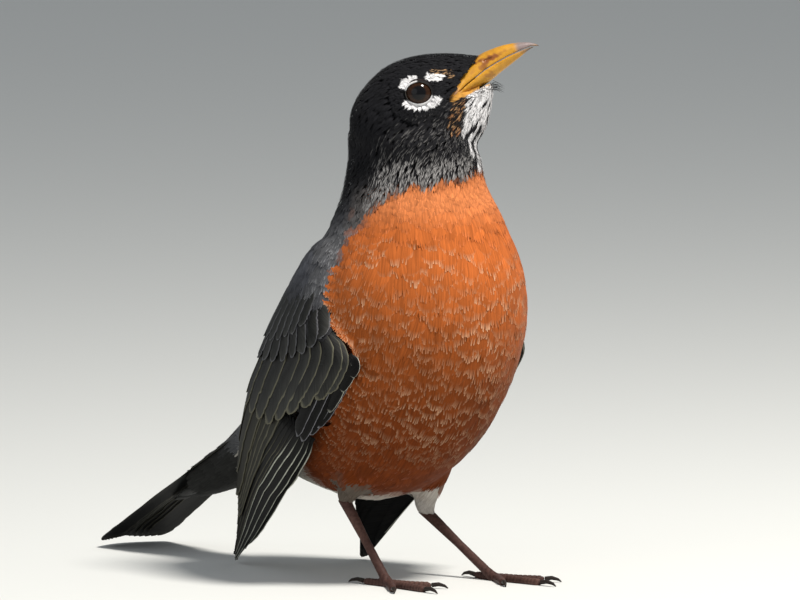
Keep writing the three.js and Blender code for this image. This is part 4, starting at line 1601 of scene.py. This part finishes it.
def tuft_colours(roots, seen, wings):
    """Every tuft's colours at base and tip, and how far its ends and its flecks take the tip's."""
    base, tip, fringe, fleck = face_marks(seen, coat_colour(seen, wings))
    orange = smoothstep(0, 3, breast_border(seen)) * (1 - wings) * (1 - leg_share(seen)) > 0.5
    patchy = smoothstep(-0.4, 0.5, ripple(roots, 8.0, 3))
    zone = smoothstep(108, 96, roots[:, 2]) * smoothstep(28, 45, roots[:, 2])
    arcs = (0.15 + zone * (0.35 + 0.6 * patchy)) * rng.uniform(0.4, 1.0, len(roots))
    # The pale fringes are painted darker low on the belly: painted shade.
    pale = PALE_FRINGE * (0.45 + 0.55 * smoothstep(40, 75, roots[:, 2]))[:, None]
    tip = mix(tip, pale, orange)
    fringe = np.where(orange, arcs, fringe)
    # Outside the fringed zone, paler strips on the tufts' ends stand in for highlights on the barbs:
    # painted highlight.
    tip = mix(tip, base * 1.35 + 0.02, orange & (zone < 0.5))
    fleck = np.where(orange, 0.22 * (zone < 0.5), fleck)

    # A pale patch with paler streaks along the top of the wing at the shoulder: painted highlight.
    shoulder = smoothstep(76, 84, seen[:, 2]) * smoothstep(25, 15, seen[:, 1])
    shoulder = shoulder * (np.abs(seen[:, 0]) > 17) * smoothstep(103, 98, seen[:, 2]) * ~orange
    base = mix(base, SHOULDER_HIGHLIGHT * 0.4, 0.7 * shoulder)
    tip = mix(tip, SHOULDER_HIGHLIGHT, shoulder)
    return dict(base=base, tip=tip, fringe=fringe, fleck=np.maximum(fleck, 0.5 * shoulder))


def measure_tufts(roots, wings):
    """Place, lie, sizes and colours of every tuft."""
    head = smoothstep(104, 112, roots[:, 2])
    length, width, rise = tuft_sizes(roots, wings, head)
    lie = tuft_lie(roots, 0.10 + 0.08 * head)
    seen = outer.snap(roots + lie * (SEEN_PART * length)[:, None], 0)
    places = dict(root=roots, lie=lie, length=length, width=width, rise=rise)
    return places | tuft_colours(roots, seen, wings)


def lay_coat():
    roots, wings = tuft_roots()
    coat = measure_tufts(roots, wings)
    orange = (breast_border(roots) > 0) & (wings < 0.5)
    small = (roots[:, 2] > SMALL_TUFTS_FROM) & ~orange
    low = roots[:, 2] < BELLY_TOP
    layers = (
        ("coat_breast", "breast_feathers", ~small & orange & ~low),
        ("coat_belly", "breast_feathers", ~small & orange & low),
        ("coat_back", "grey_feathers", ~small & ~orange),
        ("coat_head", "head_feathers", small),
    )
    for name, slot, chosen in layers:
        part = {key: table[chosen] for key, table in coat.items()}
        if slot == "head_feathers":
            tufts(name, part, 6, [0, 0.32], [0.7], 0.14, 0.16)
        else:
            tufts(name, part, 14, [0, 0.3, 0.55, 0.74], [0.95, 0.965], 0.05, 0.05)


lay_coat()


def bill_edge(points):
    """True just behind the feathers' edge, on the lower face."""
    local = head_local(points)
    near_bill = bill_share(points - 1.6 * HEAD_AXES[:, 1]) > 0.5
    under_bill = bill_share(points + 1.6 * HEAD_AXES[:, 2]) > 0.5
    lower_face = (local[:, 2] < -1.5) & (local[:, 0] > 6)
    return (near_bill | under_bill) & (bill_share(points) < 0.5) & lower_face


# Each bristle has two rings of three vertices and a tip.
BRISTLE_FACES = (
    ((0, 1, 4), (0, 4, 3), (1, 2, 5)),
    ((1, 5, 4), (2, 0, 3), (2, 3, 5)),
    ((3, 4, 6), (4, 5, 6), (5, 3, 6)),
)
BRISTLE_PATCH = ((-0.5, -0.5), (0, -0.4), (0.5, -0.5), (-0.4, 0), (0, 0.1), (0.4, 0), (0, 0.5))


def make_bristles():
    """Stiff black bristles at the corner of the mouth and round the chin."""
    edge = outer_faces[bill_edge(outer_points[outer_faces].mean(1))]
    spots = scatter(outer_points, edge, lambda places: np.full(len(places), 0.8))
    _, normal = outer.read(spots)
    count = len(spots)
    astray = 0.25 * rng.normal(size=(count, 3))
    heading = unit(0.8 * normal - 0.5 * HEAD_AXES[:, 1] + astray + [0, 0, -0.4])
    side = unit(np.cross(heading, [0.3, 0.2, 1]))
    rise = np.cross(heading, side)
    length = rng.uniform(1.8, 3.6, count)[:, None]
    rings = []
    for level, radius in ((0, 0.085), (0.55, 0.055)):
        middle = spots + heading * length * level - [0, 0, 0.5 * level**2] - 0.4 * normal * (level == 0)
        for turn in (0, 2.1, 4.2):
            rings.append(middle + radius * (math.cos(turn) * side + math.sin(turn) * rise))
    rings.append(spots + heading * length - [0, 0, 0.5])
    points = np.stack(rings, 1).reshape(-1, 3)
    faces = np.array(BRISTLE_FACES).reshape(-1, 3) + 7 * np.arange(count)[:, None, None]
    uv = (coat_uv(spots)[:, None] + TUFT_PATCH * np.array(BRISTLE_PATCH)).reshape(-1, 2)
    colours = np.broadcast_to(BLACK, points.shape)
    piece = make_mesh("bristles", points, faces.reshape(-1, 3), colours, uv, under_coat)
    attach(piece, "root")


make_bristles()


# ---- Floor, light and camera -----------------------------------------------------------------

FLOOR_SIZE = 16.0
CAMERA_AZIMUTH = math.radians(-40)
CAMERA_ELEVATION = math.radians(5)
CAMERA_LENS = 600.0
PIXELS_PER_MM = 3.6
IMAGE_WIDTH = 800
CAMERA_TARGET = np.array([-2.8, 11.3, 78.3])


def camera_axes():
    a, e = CAMERA_AZIMUTH, CAMERA_ELEVATION
    back = Vector((math.sin(a) * math.cos(e), -math.cos(a) * math.cos(e), math.sin(e)))
    right = Vector((math.cos(a), math.sin(a), 0))
    return right, back.cross(right), back


def aim(thing, place, target):
    thing.location = place
    thing.rotation_euler = (Vector(target) - Vector(place)).to_track_quat("-Z", "Y").to_euler()


def make_camera():
    data = bpy.data.cameras.new("camera")
    data.lens = CAMERA_LENS
    camera = add_object("camera", data)
    distance = CAMERA_LENS / data.sensor_width * IMAGE_WIDTH / PIXELS_PER_MM * MM
    target = Vector(to_row(CAMERA_TARGET))
    aim(camera, target + camera_axes()[2] * distance, target)
    bpy.context.scene.camera = camera


def make_light(name, offset, size, power, colour=(1, 1, 1)):
    """An area light, placed by metres to the camera's right, up, and towards the camera."""
    data = bpy.data.lights.new(name, "AREA")
    data.shape = "DISK"
    data.size = size
    data.energy = power
    data.color = colour
    light = add_object(name, data)
    right, up, back = camera_axes()
    target = Vector(to_row(CAMERA_TARGET))
    aim(light, target + right * offset[0] + up * offset[1] + back * offset[2], target)


def make_stage():
    bpy.ops.mesh.primitive_plane_add(size=FLOOR_SIZE)
    floor = bpy.context.object
    floor.name = "floor"
    grey = new_material("floor_paint", Base_Color=(0.72, 0.73, 0.71, 1), Roughness=0.9)
    floor.data.materials.append(grey)
    world = bpy.data.worlds.new("studio")
    world.use_nodes = True
    set_inputs(world.node_tree.nodes["Background"], {"Color": (0.9, 0.95, 1.0, 1), "Strength": 0.34})
    bpy.context.scene.world = world
    make_light("key", (0.50, 1.10, 0.45), 0.28, 23, (1.0, 0.96, 0.9))
    make_light("fill", (-0.7, 0.3, 0.9), 1.0, 1.6)
    bpy.context.scene.view_settings.view_transform = "Standard"


make_camera()
make_stage()
